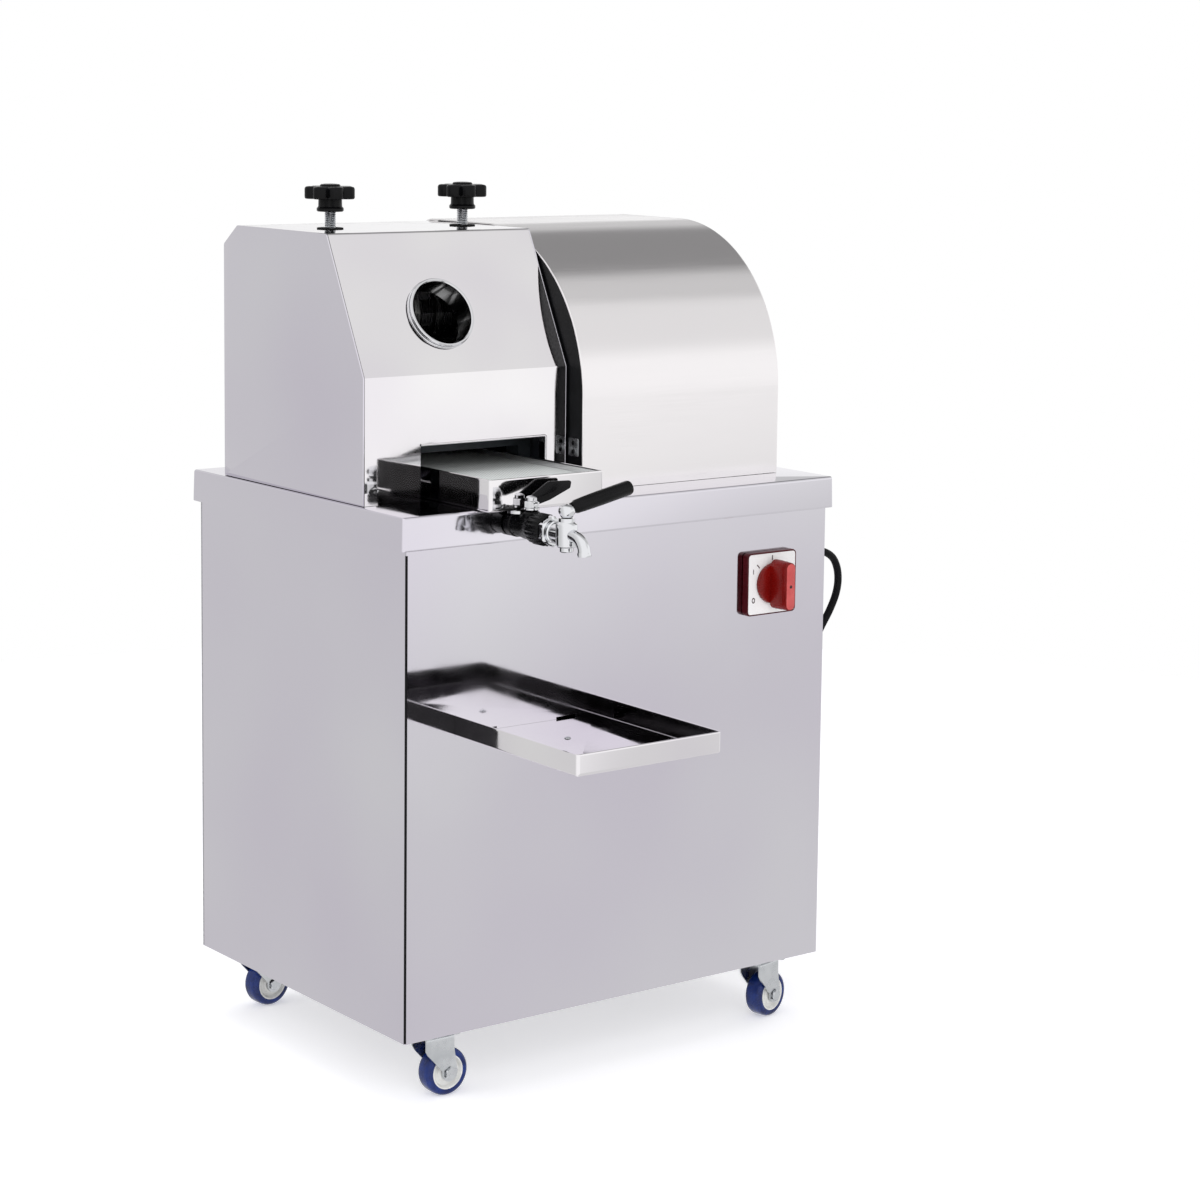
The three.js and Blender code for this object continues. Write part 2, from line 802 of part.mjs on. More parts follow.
// Mains plug lying beside the coil, on the cord's end
function makePlug() {
  const line = coilCentreline();
  const end = line.at(-1);
  const x = across(coilRight) + end[0];
  const y = back(coilBack) + end[1] - fit;
  const z = end[2];
  const relief = turned("y", [[0, -plugRelief], [7.5, -plugRelief], [5.2, 0], [0, 0]], [x, y, z], 16);
  const half = plugWidth / 2;
  const corner = 6;
  const bodyEnd = y - plugRelief + 2;
  const thick = z - 0.6;
  const body = upright(
    [
      ...arc(half - corner, corner - plugBody, corner, 270, 360, 3),
      [half - 5, 0],
      [5 - half, 0],
      ...arc(corner - half, corner - plugBody, corner, 180, 270, 3),
    ],
    -thick,
    thick,
  ).translate([x, bodyEnd, z]);
  const tip = bodyEnd - plugBody - plugPins;
  const pins = [-pinSpacing / 2, pinSpacing / 2].map((dx) =>
    block(x + dx - 1, x + dx + 1, tip, bodyEnd - plugBody + 4, z - 3.2, z + 3.2),
  );
  add("mains_plug", join(relief, body, ...pins), rubber);
}

// Castors: a bolted plate with its kingpin, a swivelling fork with its axle, and a nylon-cored
// wheel whose polyurethane tread is moulded onto the core
function makeCastor(name, v, u, turn) {
  const swivel = new THREE.Group();
  swivel.position.set(across(v), back(u), 0);
  swivel.rotation.z = THREE.MathUtils.degToRad(turn);
  juicer.add(swivel);

  const top = castorHeight - fit;
  const plateFoot = top - castorPlateWall;
  const edge = castorPlate / 2;
  const headTop = plateFoot - fit;
  const headFoot = headTop - forkHead;
  const half = forkWidth / 2;
  const pin = join(
    block(-edge, edge, -edge, edge, plateFoot, top),
    bar("z", axle, headFoot - 4, plateFoot + 1, [0, 0, 0], 12),
    bar("z", axle + 6, headFoot - 4, headFoot - fit, [0, 0, 0], 12),
  );
  const fixed = new THREE.Group();
  fixed.position.copy(swivel.position);
  juicer.add(fixed);
  add("castor_plate_" + name, pin, zinc, fixed);

  const axis = wheel / 2;
  const legGap = tyreWidth / 2 + 1.5;
  const legFace = legGap + forkWall;
  const outline = [
    [-half, headFoot],
    [-half, headFoot - 5],
    [trail - forkEye, axis - 2],
    ...arc(trail, axis, forkEye, 200, 340, 3),
    [trail + forkEye, axis + 8],
    [half, headFoot - 5],
    [half, headFoot],
  ];
  const legs = [-1, 1].map((side) => {
    const leg = upright(outline, 0, forkWall).rotate([90, 0, 0]);
    return leg.translate([0, side > 0 ? legFace : -legGap, 0]);
  });
  const crown = cut(
    join(
      block(-half, half, -legFace, legFace, headFoot, headFoot + forkWall),
      bar("z", 2 * legFace, headFoot, headTop, [0, 0, 0], 16),
    ),
    bar("z", axle + 2 * running, headFoot - 1, headTop + 1, [0, 0, 0], 12),
  );
  const pivot = bar("y", axle, -legFace - 2, legFace + 2, [trail, 0, axis], 12);
  add("castor_fork_" + name, join(crown, ...legs, pivot), zinc, swivel);

  const bore = axle / 2 + running;
  const rim = hubDisc / 2;
  const side = tyreWidth / 2;
  const face = side - 1; // the core's boss and rim stand just inside the tread
  const wheelSides = 18;
  const tread = axis / Math.cos(Math.PI / wheelSides); // the wheel stands on one of its flats
  const profile = [
    [bore, face],
    [10, face - 2],
    [rim - 4, face - 3],
    [rim - 2, side],
    [tread - 3, side],
    [tread, side - 4.5],
  ];
  const mirrored = profile.map(([r, y]) => [r, -y]).reverse();
  const rolling = turned("y", [...profile, ...mirrored], [0, 0, 0], wheelSides);
  const standing = rolling.rotate([0, 180 / wheelSides, 0]).translate([trail, 0, axis]);
  add("castor_wheel_" + name, standing, bluePolyurethane, swivel);
}

// Head: a folded shell between two side plates, open below at the front for the drawer
const headOutline = [
  [headFront, 0],
  [headFront, slopeFoot],
  [headFront + slopeRun, headHeight],
  [headBack - backChamfer, headHeight],
  [headBack, headHeight - backChamferDrop],
  [headBack, 0],
];
const slopeDirection = unit(headOutline[1], headOutline[2]);
const slopeLength = Math.hypot(slopeRun, headHeight - slopeFoot);
const feedPoint = [
  headFront + slopeDirection[0] * slopeLength * feedUp,
  slopeFoot + slopeDirection[1] * slopeLength * feedUp,
];
const slopeTilt = Math.atan2(slopeRun, headHeight - slopeFoot); // outward normal above the horizontal

// Places a solid made along +Z on the feed's axis, with +Z pointing out of the slope
function onSlope(shape) {
  const tilt = 90 - THREE.MathUtils.radToDeg(slopeTilt);
  return shape.rotate([tilt, 0, 0]).translate([across(feedAcross), back(feedPoint[0]), up(feedPoint[1])]);
}

function makeHead() {
  const shellLeft = headLeft + sheet + fit;
  const shellRight = headRight - sheet - fit;
  const lift = headOutline.map(([u, h]) => [u, Math.max(h, fit)]);
  let shell = slab(folded(lift, sheet), shellLeft, shellRight);
  const mouth = block(
    across(mouthLeft),
    across(mouthLeft + mouthWidth),
    back(headFront - 1),
    back(headFront + sheet + 1),
    up(-1),
    up(mouthHeight),
  );
  const outlet = block(
    across(outletLeft),
    across(outletLeft + outletWidth),
    back(headBack - sheet - 1),
    back(headBack + 1),
    up(outletFoot),
    up(outletFoot + outletHeight),
  );
  const feedHole = onSlope(bar("z", feedTube + 2 * fit, -20, 20, [0, 0, 0], 24));
  const studHoles = millPlates.map((v) =>
    bar("z", stud + 2 * running + 1, -20, 20, [across(v), back(rollerAxisBack), up(headHeight)], 20),
  );
  shell = cut(shell, mouth, outlet, feedHole, ...studHoles);
  add("head_shell", shell, polished);

  add("head_left_side", slab(lift, headLeft, headLeft + sheet), polished);
  const shaftHoles = [rearRoller].map((at) => crossHole(at, rollerShaft + 3, headRight - 6, headRight + 3));
  add("head_right_side", cut(slab(lift, headRight - sheet, headRight), ...shaftHoles), polished);

  const outer = feedTube / 2;
  const inner = feedBore / 2;
  const collar = turned(
    "z",
    [
      [inner, -feedInside],
      [outer, -feedInside],
      [outer, feedProud - 3],
      [outer + 0.8, feedProud - 2],
      [outer + 0.8, feedProud - 0.8],
      [outer, feedProud],
      [inner + 1, feedProud],
      [inner, feedProud - 1.5],
    ],
    [0, 0, 0],
    24,
  );
  add("feed_collar", onSlope(collar), chrome);

  // hood over the bagasse outlet: a sloped roof between two cheeks, on the head's back
  const roofTop = outletFoot + outletHeight + hoodMargin;
  const behind = headBack + fit;
  const roof = [
    [behind, roofTop],
    [behind + 14, roofTop],
    [behind + chuteReach, outletFoot + 18],
    [behind + chuteReach, outletFoot],
  ];
  const [hoodLeft, hoodRight] = [outletLeft - hoodMargin, outletLeft + outletWidth + hoodMargin];
  const hood = slab(folded(roof, sheet), hoodLeft, hoodRight);
  const cheek = [...roof, [behind, outletFoot]];
  const cheeks = [
    slab(cheek, hoodLeft, hoodLeft + sheet),
    slab(cheek, hoodRight - sheet, hoodRight),
  ];
  add("bagasse_hood", join(hood, ...cheeks), polished);
}

// A hole across the machine, at a [back, up] point, from v0 to v1
function crossHole(at, diameter, v0, v1, sides = 24) {
  return bar("x", diameter, across(v0), across(v1), [0, back(at[0]), up(at[1])], sides);
}

// Mill bed: two bars across the machine on posts, so that the drawer slides under the mill
const millFront = rollerAxisBack - millDepth / 2;
const millRear = rollerAxisBack + millDepth / 2;
const bedTop = bedFoot + bedHeight;

function makeMillBed() {
  const left = headLeft + sheet + 2 * fit;
  const right = headRight - sheet - 2 * fit;
  const parts = [];
  for (const u of [millFront, millRear - bedBar]) {
    parts.push(block(across(left), across(right), back(u), back(u + bedBar), up(bedFoot), up(bedTop)));
    for (const v of [left, right - bedPost]) {
      parts.push(block(across(v), across(v + bedPost), back(u), back(u + bedBar), up(fit), up(bedTop)));
    }
  }
  for (const v of [left, right - bedPost]) {
    const x = [across(v), across(v + bedPost)];
    parts.push(block(...x, back(millFront), back(millRear), up(bedFoot), up(bedTop)));
  }
  add("mill_bed", join(...parts), castIron);
}

function makeMillPlates() {
  const foot = bedTop + fit;
  const top = headHeight - sheet - plateTopGap;
  const slotHalf = blockWidth / 2 + running;
  const slotFoot = rollerAxisUp - blockHeight / 2 - running;
  millPlates.forEach((v, i) => {
    const v0 = v - millPlate / 2;
    const v1 = v + millPlate / 2;
    const outline = [
      [millFront, foot],
      [millFront, rollerAxisUp - 20],
      [rollerAxisBack - plateHead / 2, top - 26],
      [rollerAxisBack - plateHead / 2, top],
      [rollerAxisBack + plateHead / 2, top],
      [rollerAxisBack + plateHead / 2, top - 26],
      [millRear, rollerAxisUp - 20],
      [millRear, foot],
    ];
    const slotTop = top - bridge;
    const slot = block(
      across(v0 - 1),
      across(v1 + 1),
      back(rollerAxisBack - slotHalf),
      back(rollerAxisBack + slotHalf),
      up(slotFoot),
      up(slotTop),
    );
    const journals = [frontRoller, rearRoller].map((at) =>
      crossHole(at, rollerShaft + 2 * running, v0 - 1, v1 + 1, 24),
    );
    const screwHole = [across(v), back(rollerAxisBack), capTop];
    const thread = bar("z", stud + 2 * running, slotTop - 2, top + 2, screwHole, 20);
    const plate = cut(slab(outline, v0, v1), slot, ...journals, thread);
    add(i === 0 ? "mill_plate_left" : "mill_plate_right", plate, castIron);

    // bearing block: slides in the slot, carries the top roller and takes the pressure screw's foot
    const body = block(
      across(v0),
      across(v1),
      back(rollerAxisBack - blockWidth / 2),
      back(rollerAxisBack + blockWidth / 2),
      up(rollerAxisUp - blockHeight / 2),
      up(rollerAxisUp + blockHeight / 2),
    );
    const socket = bar(
      "z",
      stud + 2 * running,
      up(rollerAxisUp + blockHeight / 2) - screwSeat,
      up(rollerAxisUp + blockHeight / 2) + 1,
      [across(v), back(rollerAxisBack), 0],
      20,
    );
    const bore = crossHole(topRoller, rollerShaft + 2 * running, v0 - 1, v1 + 1, 24);
    add(i === 0 ? "bearing_block_left" : "bearing_block_right", cut(body, bore, socket), steel);

    makePressureKnob(i === 0 ? "pressure_knob_left" : "pressure_knob_right", v);
  });
}

// Pressure screw with its star knob: seven lobes round a hub, on a plain steel stud
const screwSeat = 5;

function makePressureKnob(name, v) {
  const at = [across(v), back(rollerAxisBack)];
  const foot = up(rollerAxisUp + blockHeight / 2) - screwSeat + fit;
  const knobFoot = up(headHeight) + studBare;
  const reach = starKnob / 2;
  const lobe = 7.2;
  const outline = [];
  const steps = starLobes * 6;
  for (let i = 0; i < steps; i += 1) {
    const angle = (i / steps) * 2 * Math.PI;
    const wave = Math.abs(Math.cos((angle * starLobes) / 2)) ** 0.8;
    const radius = reach - lobe + lobe * wave;
    outline.push([radius * Math.cos(angle), radius * Math.sin(angle)]);
  }
  const hubTop = knobFoot + starHubHeight;
  const star = upright(outline, hubTop, hubTop + starHeight, at);
  const hub = bar("z", starHub, knobFoot, hubTop + starHeight + 3, [at[0], at[1], 0], 20);
  const shank = bar("z", stud, foot, knobFoot + 1, [at[0], at[1], 0], 14);
  add(name, join(star, hub, shank), blackPlastic);
}

// Rollers: a grooved barrel on a shaft, with the gear that joins it to its neighbours
function makeRoller(name, at, shaftLeft, shaftRight) {
  const left = millPlates[0] + millPlate / 2 + 2;
  const right = millPlates[1] - millPlate / 2 - 2;
  const grooves = 5;
  const pitch = (right - left - 6) / grooves;
  const barrel = roller / 2;
  const neck = rollerShaft / 2;
  const profile = [[0, shaftLeft], [neck, shaftLeft], [neck, left], [barrel, left]];
  for (let i = 0; i < grooves; i += 1) {
    const start = left + 3 + i * pitch;
    profile.push([barrel, start + pitch * 0.3], [barrel - rollerGroove, start + pitch * 0.5]);
    profile.push([barrel, start + pitch * 0.7]);
  }
  profile.push([barrel, right], [neck, right], [neck, shaftRight], [0, shaftRight]);
  const shape = turned("x", profile, [across(0), back(at[0]), up(at[1])], 16);
  add(name, shape, steel);
}

// An involute spur gear's outline, with one tooth's middle on the first axis
function gearOutline(module, teeth, slack, addendum) {
  const pitch = (module * teeth) / 2;
  const pressure = THREE.MathUtils.degToRad(pressureAngle);
  const base = pitch * Math.cos(pressure);
  const tip = pitch + module * addendum;
  const root = pitch - module * 1.25;
  const involute = (r) => {
    const alpha = Math.acos(Math.min(base / r, 1));
    return Math.tan(alpha) - alpha;
  };
  const halfAtPitch = Math.PI / (2 * teeth) - slack / 4 / pitch;
  const half = (r) => halfAtPitch + involute(pitch) - involute(Math.max(r, base));
  const radii = teeth > 40 ? [root, tip] : [root, pitch, tip];
  const points = [];
  for (let i = 0; i < teeth; i += 1) {
    const middle = (i / teeth) * 2 * Math.PI;
    for (const r of radii) points.push([r, middle - half(r)]);
    for (const r of [...radii].reverse()) points.push([r, middle + half(r)]);
  }
  return points.map(([r, a]) => [r * Math.cos(a), r * Math.sin(a)]);
}

// A gear across the machine: its outline lies in the (back, up) plane and is turned by an angle
function gear(outline, turn, at, v0, v1, bore) {
  const angle = THREE.MathUtils.degToRad(turn);
  const placed = outline.map(([u, h]) => [
    at[0] + u * Math.cos(angle) - h * Math.sin(angle),
    at[1] + u * Math.sin(angle) + h * Math.cos(angle),
  ]);
  return cut(slab(placed, v0, v1), crossHole(at, bore, v0 - 1, v1 + 1, 20));
}

const angleTo = (a, b) => THREE.MathUtils.radToDeg(Math.atan2(b[1] - a[1], b[0] - a[0]));

// The turn that puts a tooth gap of a gear on the line to a neighbour, whose own tooth lies there
function meshTurn(own, neighbour, ownTeeth, neighbourTeeth, neighbourTurn) {
  const toOwn = angleTo(neighbour, own);
  const pitchAngle = 360 / neighbourTeeth;
  // how far the line to the own gear lies past the middle of one of the neighbour's teeth
  const past = (((toOwn - neighbourTurn) % pitchAngle) + pitchAngle) % pitchAngle;
  const ownPast = (past * neighbourTeeth) / ownTeeth;
  return angleTo(own, neighbour) + ownPast + 180 / ownTeeth;
}

function makeGears() {
  const outline = gearOutline(rollerModule, rollerTeeth, backlash, rollerAddendum);
  const bore = rollerShaft + 2 * fit;
  const v0 = gearLeft;
  const v1 = gearLeft + rollerGearWidth;
  const topTurn = 90;
  add("top_roller_gear", gear(outline, topTurn, topRoller, v0, v1, bore), steel);
  for (const [name, at] of [["front_roller_gear", frontRoller], ["rear_roller_gear", rearRoller]]) {
    const turn = meshTurn(at, topRoller, rollerTeeth, rollerTeeth, topTurn);
    add(name, gear(outline, turn, at, v0, v1, bore), steel);
  }

  const bull = gearOutline(bullModule, bullTeeth, bullBacklash, bullAddendum);
  const pinion = gearOutline(bullModule, pinionTeeth, bullBacklash, bullAddendum);
  const bullRight = bullLeft + bullWidth;
  const lightening = Array.from({ length: 5 }, (_, i) => {
    const angle = (i / 5) * 2 * Math.PI;
    const reach = 54;
    const at = [rearRoller[0] + reach * Math.cos(angle), rearRoller[1] + reach * Math.sin(angle)];
    return crossHole(at, 26, bullLeft - 1, bullRight + 1, 10);
  });
  const hub = crossHole(rearRoller, rollerShaft + 26, bullLeft - 6, bullRight);
  const wheelBody = gear(bull, 0, rearRoller, bullLeft, bullRight, 4);
  const shaftBore = crossHole(rearRoller, bore, bullLeft - 8, bullRight + 2);
  const bullGear = cut(join(wheelBody, hub), shaftBore, ...lightening);
  add("bull_gear", bullGear, castIron);

  // countershaft with its pinion cut on it
  const turn = meshTurn(counter, rearRoller, pinionTeeth, bullTeeth, 0);
  const angle = THREE.MathUtils.degToRad(turn);
  const placed = pinion.map(([u, h]) => [
    counter[0] + u * Math.cos(angle) - h * Math.sin(angle),
    counter[1] + u * Math.sin(angle) + h * Math.cos(angle),
  ]);
  const shaft = crossHole(counter, countershaft, bullLeft - 4, standRight + standPlate + 10);
  add("countershaft", join(slab(placed, bullLeft - 1, bullRight + 1), shaft), steel);
}

// Drive stand: two uprights on a foot plate, which carry the countershaft and the driven shaft
function makeStand() {
  const foot = fit;
  const front = counter[0] - countershaftBoss;
  const rear = rearRoller[0] + drivenBoss;
  const inner = [
    [front, foot],
    [front, counter[1] + 4],
    ...arc(counter[0], counter[1], countershaftBoss, 170, 60, 6),
    ...arc(rearRoller[0], rearRoller[1], drivenBoss, 60, 0, 5),
    [rear, foot],
  ];
  const outer = [
    [front, foot],
    [front, counter[1]],
    ...arc(counter[0], counter[1], countershaftBoss, 170, 10, 8),
    [counter[0] + countershaftBoss, foot],
  ];
  const slotHalf = beltPulley / 2 + pulleyLand;
  const parts = [
    slab(inner, standLeft, standLeft + standPlate),
    slab(outer, standRight, standRight + standPlate),
    block(
      across(standLeft),
      across(standLeft + standPlate + 24),
      back(front),
      back(rear),
      up(foot),
      up(foot + standFoot),
    ),
    block(
      across(standRight - 16),
      across(standRight + standPlate),
      back(front),
      back(rear),
      up(foot),
      up(foot + standFoot),
    ),
    // tie bar behind the belt's slot
    block(
      across(standLeft),
      across(standRight + standPlate),
      back(counter[0] + slotHalf),
      back(counter[0] + slotHalf + 18),
      up(foot),
      up(foot + standFoot),
    ),
  ];
  const bores = [
    crossHole(counter, countershaft + 2 * running, standLeft - 1, standRight + standPlate + 1, 20),
    crossHole(rearRoller, rollerShaft + 2 * running, standLeft - 1, standLeft + standPlate + 1, 24),
  ];
  add("drive_stand", cut(join(...parts), ...bores), castIron);
}

// A V-belt pulley's profile, from its bore outwards, with the belt's groove in its rim
function pulley(diameter, at, boreDiameter) {
  const outer = diameter / 2;
  const groove = outer - beltThick - 1;
  const v0 = pulleyLeft;
  const v1 = pulleyLeft + pulleyWidth;
  const flank = 2.2;
  const middle = (v0 + v1) / 2;
  const wide = beltWidth / 2 + flank + 0.6;
  const narrow = beltWidth / 2 + 0.3;
  const bore = boreDiameter / 2 + fit;
  const web = outer > 50 ? 7 : 0; // a large pulley is dished between hub and rim
  const hub = bore + 10;
  const rim = groove - 8;
  const left = web ? [[hub, v0], [hub, v0 + web], [rim, v0 + web], [rim, v0]] : [];
  const right = web ? [[rim, v1], [rim, v1 - web], [hub, v1 - web], [hub, v1]] : [];
  const profile = [
    [bore, v0],
    ...left,
    [outer, v0],
    [outer, middle - wide],
    [groove, middle - narrow],
    [groove, middle + narrow],
    [outer, middle + wide],
    [outer, v1],
    ...right,
    [bore, v1],
  ];
  return turned("x", profile, [across(0), back(at[0]), up(at[1])], outer > 50 ? 24 : 16);
}

const motorAxis = [counter[0], motorFoot + motorBody / 2 - shelfDepth];

function makeBeltDrive() {
  add("countershaft_pulley", pulley(beltPulley, counter, countershaft), castIron);

  // the motor's pulley is shrunk on the rotor's shaft and turns with it
  const motorRight = pulleyLeft - pulleyToMotor;
  const shaftEnd = motorRight - rotorStub;
  const shaft = crossHole(motorAxis, motorShaft, shaftEnd, pulleyLeft + pulleyWidth + 2, 16);
  add("motor_pulley", join(pulley(motorPulley, motorAxis, motorShaft - 4), shaft), castIron);

  // the belt: two arcs round the pulleys and the two straight runs between them
  const seat = beltThick + 1 - fit;
  const upper = beltPulley / 2 - seat;
  const lower = motorPulley / 2 - seat;
  const span = counter[1] - motorAxis[1];
  const lean = THREE.MathUtils.radToDeg(Math.asin((upper - lower) / span));
  const loop = (extra) => [
    ...arc(counter[0], counter[1], upper + extra, 180 + lean, -lean, 20),
    ...arc(motorAxis[0], motorAxis[1], lower + extra, -lean, lean - 180, 10),
  ];
  const outer = slab(loop(beltThick), beltLeft, beltLeft + beltWidth);
  const inner = slab(loop(0), beltLeft - 1, beltLeft + beltWidth + 1);
  add("drive_belt", cut(outer, inner), rubber);

  const motorLeft = motorRight - motorLength;
  const shelfTop = -shelfDepth + fit;
  const at = [across(0), back(motorAxis[0]), up(motorAxis[1])];
  const radius = motorBody / 2;
  const can = turned(
    "x",
    [
      [0, motorLeft],
      [radius - 8, motorLeft],
      [radius, motorLeft + 10],
      [radius, motorLeft + 42],
      [radius - 4, motorLeft + 44],
      [radius - 4, motorRight - 34],
      [radius, motorRight - 32],
      [radius, motorRight - 8],
      [radius - 20, motorRight],
      [motorShaft / 2 + running, motorRight],
      [motorShaft / 2 + running, shaftEnd - fit],
      [0, shaftEnd - fit],
    ],
    at,
    20,
  );
  const feet = [motorLeft + 12, motorRight - 12 - footLength].map((v) =>
    block(
      across(v),
      across(v + footLength),
      back(motorAxis[0] - radius),
      back(motorAxis[0] + radius),
      up(shelfTop),
      up(motorAxis[1] - radius * 0.72),
    ),
  );
  add("motor", join(can, ...feet), castIron);

  const shelf = block(
    across(innerLeft + angleWall + fit),
    across(innerRight - angleWall - fit),
    back(innerFront + angleWall + fit + 44),
    back(innerBack - angleWall - fit),
    up(-shelfDepth) - shelfPlate,
    up(-shelfDepth),
  );
  add("motor_shelf", cut(shelf, ...frameCorners()), steel);
}

// The corner posts, grown by the fit, that the shelf is notched round
function frameCorners() {
  const grown = angleLeg + fit;
  const z = [up(-shelfDepth) - shelfPlate - 1, up(-shelfDepth) + 1];
  return [across(innerLeft), across(innerRight) - grown].flatMap((x) =>
    [back(innerFront), back(innerBack) - grown].map((y) => block(x, x + grown, y, y + grown, ...z)),
  );
}

// Drive cover: an arched sheet between two end plates
function makeDriveCover() {
  const top = coverHeight;
  const middle = coverFront + coverRadius;
  const spring = top - coverRadius;
  const outline = [
    [coverFront, fit],
    ...arc(middle, spring, coverRadius, 180, 90, 12),
    ...arc(coverBack - coverRearRadius, top - coverRearRadius, coverRearRadius, 90, 0, 5),
    [coverBack, fit],
  ];
  const shell = slab(folded(outline, sheet), coverLeft + sheet + fit, coverRight - sheet - fit);
  add("drive_cover", shell, brushed);

  const shaftHole = crossHole(rearRoller, rollerShaft + 3, coverLeft - 3, coverLeft + sheet + 3);
  let left = cut(slab(outline, coverLeft, coverLeft + sheet), shaftHole);
  // fixing bracket at the foot of the left end plate
  left = join(
    left,
    block(
      across(coverLeft - 2),
      across(coverLeft + 1),
      back(coverFront + bracketFoot),
      back(coverFront + bracketFoot + bracketWidth),
      up(bracketFoot),
      up(bracketFoot + bracketHeight),
    ),
  );
  add("cover_left_end", left, painted);
  add("cover_right_end", slab(outline, coverRight - sheet, coverRight), painted);
}

// Juice drawer: an open tray on the cap, with its outlet under the overhanging front
const drawerFoot = fit;

function makeDrawer() {
  const v1 = drawerLeft + drawerWidth;
  const foot = up(drawerFoot);
  const rim = up(drawerFoot + drawerHeight);
  const front = -drawerProud;
  const rear = front + drawerDepth;
  const hollow = block(
    across(drawerLeft + sheet),
    across(v1 - sheet),
    back(front + sheet),
    back(rear - sheet),
    foot + sheet,
    rim + 1,
  );
  const outlet = bar("z", 11, foot - 1, foot + sheet + 1, [across(outletLine), back(-outletMiddle), 0], 16);
  const outside = block(across(drawerLeft), across(v1), back(front), back(rear), foot, rim);
  const tray = cut(outside, hollow, outlet);
  add("juice_drawer", tray, polished);
}

const outletMiddle = 11; // the outlet's stub, ahead of the cap
const valveEnd = valveLength + 1.5;

function makeValve() {
  const x = across(outletLine);
  const z = up(-valveDrop);
  const body = turned(
    "y",
    [
      [0, -valveEnd],
      [valveFront / 2 - 2, -valveEnd],
      [valveFront / 2, 2 - valveEnd],
      [valveFront / 2, valveFlange - valveEnd],
      [valveRear / 2, valveFlange + 6 - valveEnd],
      [valveRear / 2, -1.5],
      [0, -1.5],
    ],
    [x, back(0), z],
    20,
  );
  const stub = bar("z", 16, z, up(drawerFoot) - fit, [x, back(-outletMiddle), 0], 16);
  const neck = bar("z", 10, z, up(drawerFoot) + sheet + 3, [x, back(-outletMiddle), 0], 16);
  const bonnet = bar("z", 18, z, leverFoot - fit, [x, back(-leverBack), 0], 16);
  add("outlet_valve", join(body, stub, neck, bonnet), blackPlastic);

  const boss = bar("z", leverHub, leverFoot, leverFoot + leverHubHeight, [x, back(-leverBack), 0], 6);
  const blade = slabAcross(
    [
      [0, leverFoot + 5.5],
      [8, leverFoot + 5],
      [leverReach * 0.45, leverFoot + 8.3],
      [leverReach - 1.5, leverFoot + leverRise - 8.6],
      [leverReach, leverFoot + leverRise - 1],
      [leverReach * 0.42, leverFoot + leverRise],
      [0, leverFoot + leverHubHeight - 0.5],
    ],
    x,
    back(-leverBack) - leverThick / 2,
    back(-leverBack) + leverThick / 2,
  );
  add("valve_lever", join(boss, blade), castIron);
}

const leverBack = 33; // valve stem, ahead of the cap
const leverFoot = up(-valveDrop + valveFront / 2 + 1);

// An outline in the (across, z) plane, extruded from front to back
function slabAcross(outline, x, y0, y1) {
  const shape = new THREE.Shape(outline.map(([dx, z]) => new THREE.Vector2(dx, z)));
  const geometry = new THREE.ExtrudeGeometry(shape, { depth: y1 - y0, bevelEnabled: false });
  geometry.rotateX(Math.PI / 2);
  return solid(geometry).translate([x, y1, 0]);
}

// Tap: coupling nut, plug body with its stem, and a spout that turns down
const tapStart = valveEnd + fit;
const tapStem = 92; // stem, ahead of the cap

function makeTap() {
  const x = across(outletLine);
  const z = up(-valveDrop);
  const coupling = turned(
    "y",
    [
      [0, -tapStart - couplingLength],
      [13, -tapStart - couplingLength],
      [15, 2 - tapStart - couplingLength],
      [15, -tapStart - 1.5],
      [13, -tapStart],
      [0, -tapStart],
    ],
    [x, back(0), z],
    20,
  );
  const barrel = bar("y", 20, -tapStem, -tapStart - 8, [x, back(0), z], 20);
  const plug = turned(
    "z",
    [
      [0, z - 17],
      [7, z - 17],
      [7, z - 12],
      [11, z - 11],
      [11, z + 11],
      [8, z + 13],
      [8, tapTop - fit],
      [0, tapTop - fit],
    ],
    [x, back(-tapStem), 0],
    20,
  );
  const points = [
    [-tapStem, z],
    [-tapStem - 12, z],
    [-tapStem - 22, z - 3],
    [-tapStem - 28, z - 10],
    [-tapStem - 29, z - 18],
  ].map(([u, h]) => new THREE.Vector3(x, back(u), h));
  const path = new THREE.CatmullRomCurve3(points, false, "centripetal");
  add("tap_body", join(coupling, barrel, plug, tube(path, spout, 8, 10)), chrome);

  const collar = turned(
    "z",
    [
      [0, tapTop],
      [6.5, tapTop],
      [8.5, tapTop + 3],
      [8.5, tapTop + tapBall - 4],
      [6, tapTop + tapBall - 1],
      [0, tapTop + tapBall],
    ],
    [x, back(-tapStem), 0],
    20,
  );
  const grip = bar("x", tapGrip, 9, 9 + tapGripLength, [0, 0, 0], 16);
  const rod = bar("x", 6, 0, 12, [0, 0, 0], 12);
  const handle = join(grip, rod).rotate([0, -tapGripLean, 0]).translate([x, back(-tapStem), tapTop + 7.5]);
  add("tap_handle", join(collar, handle), blackPlastic);
}

const tapTop = up(-valveDrop + 17);

makeCap();
makePanels();
makeFrame();
makeCupTray();
makeSwitch();
makeGland();
makeCord();
makeCoil();
makePlug();
makeCastor("front_left", castorSide, castorFront, 0);
makeCastor("front_right", capWidth - castorSide, castorFront, 13);
makeCastor("rear_left", castorSide, capDepth - castorRear, 6);
makeCastor("rear_right", capWidth - castorSide, capDepth - castorRear, 22);
makeHead();
makeMillBed();
makeMillPlates();
const drivenEnd = standLeft + standPlate + 6;
makeRoller("top_roller", topRoller, millPlates[0] - millPlate / 2 - 4, gearLeft + rollerGearWidth + 2);
makeRoller("front_roller", frontRoller, millPlates[0] - millPlate / 2 - 4, gearLeft + rollerGearWidth + 2);
makeRoller("rear_roller", rearRoller, millPlates[0] - millPlate / 2 - 4, drivenEnd);
makeGears();
makeStand();
makeBeltDrive();
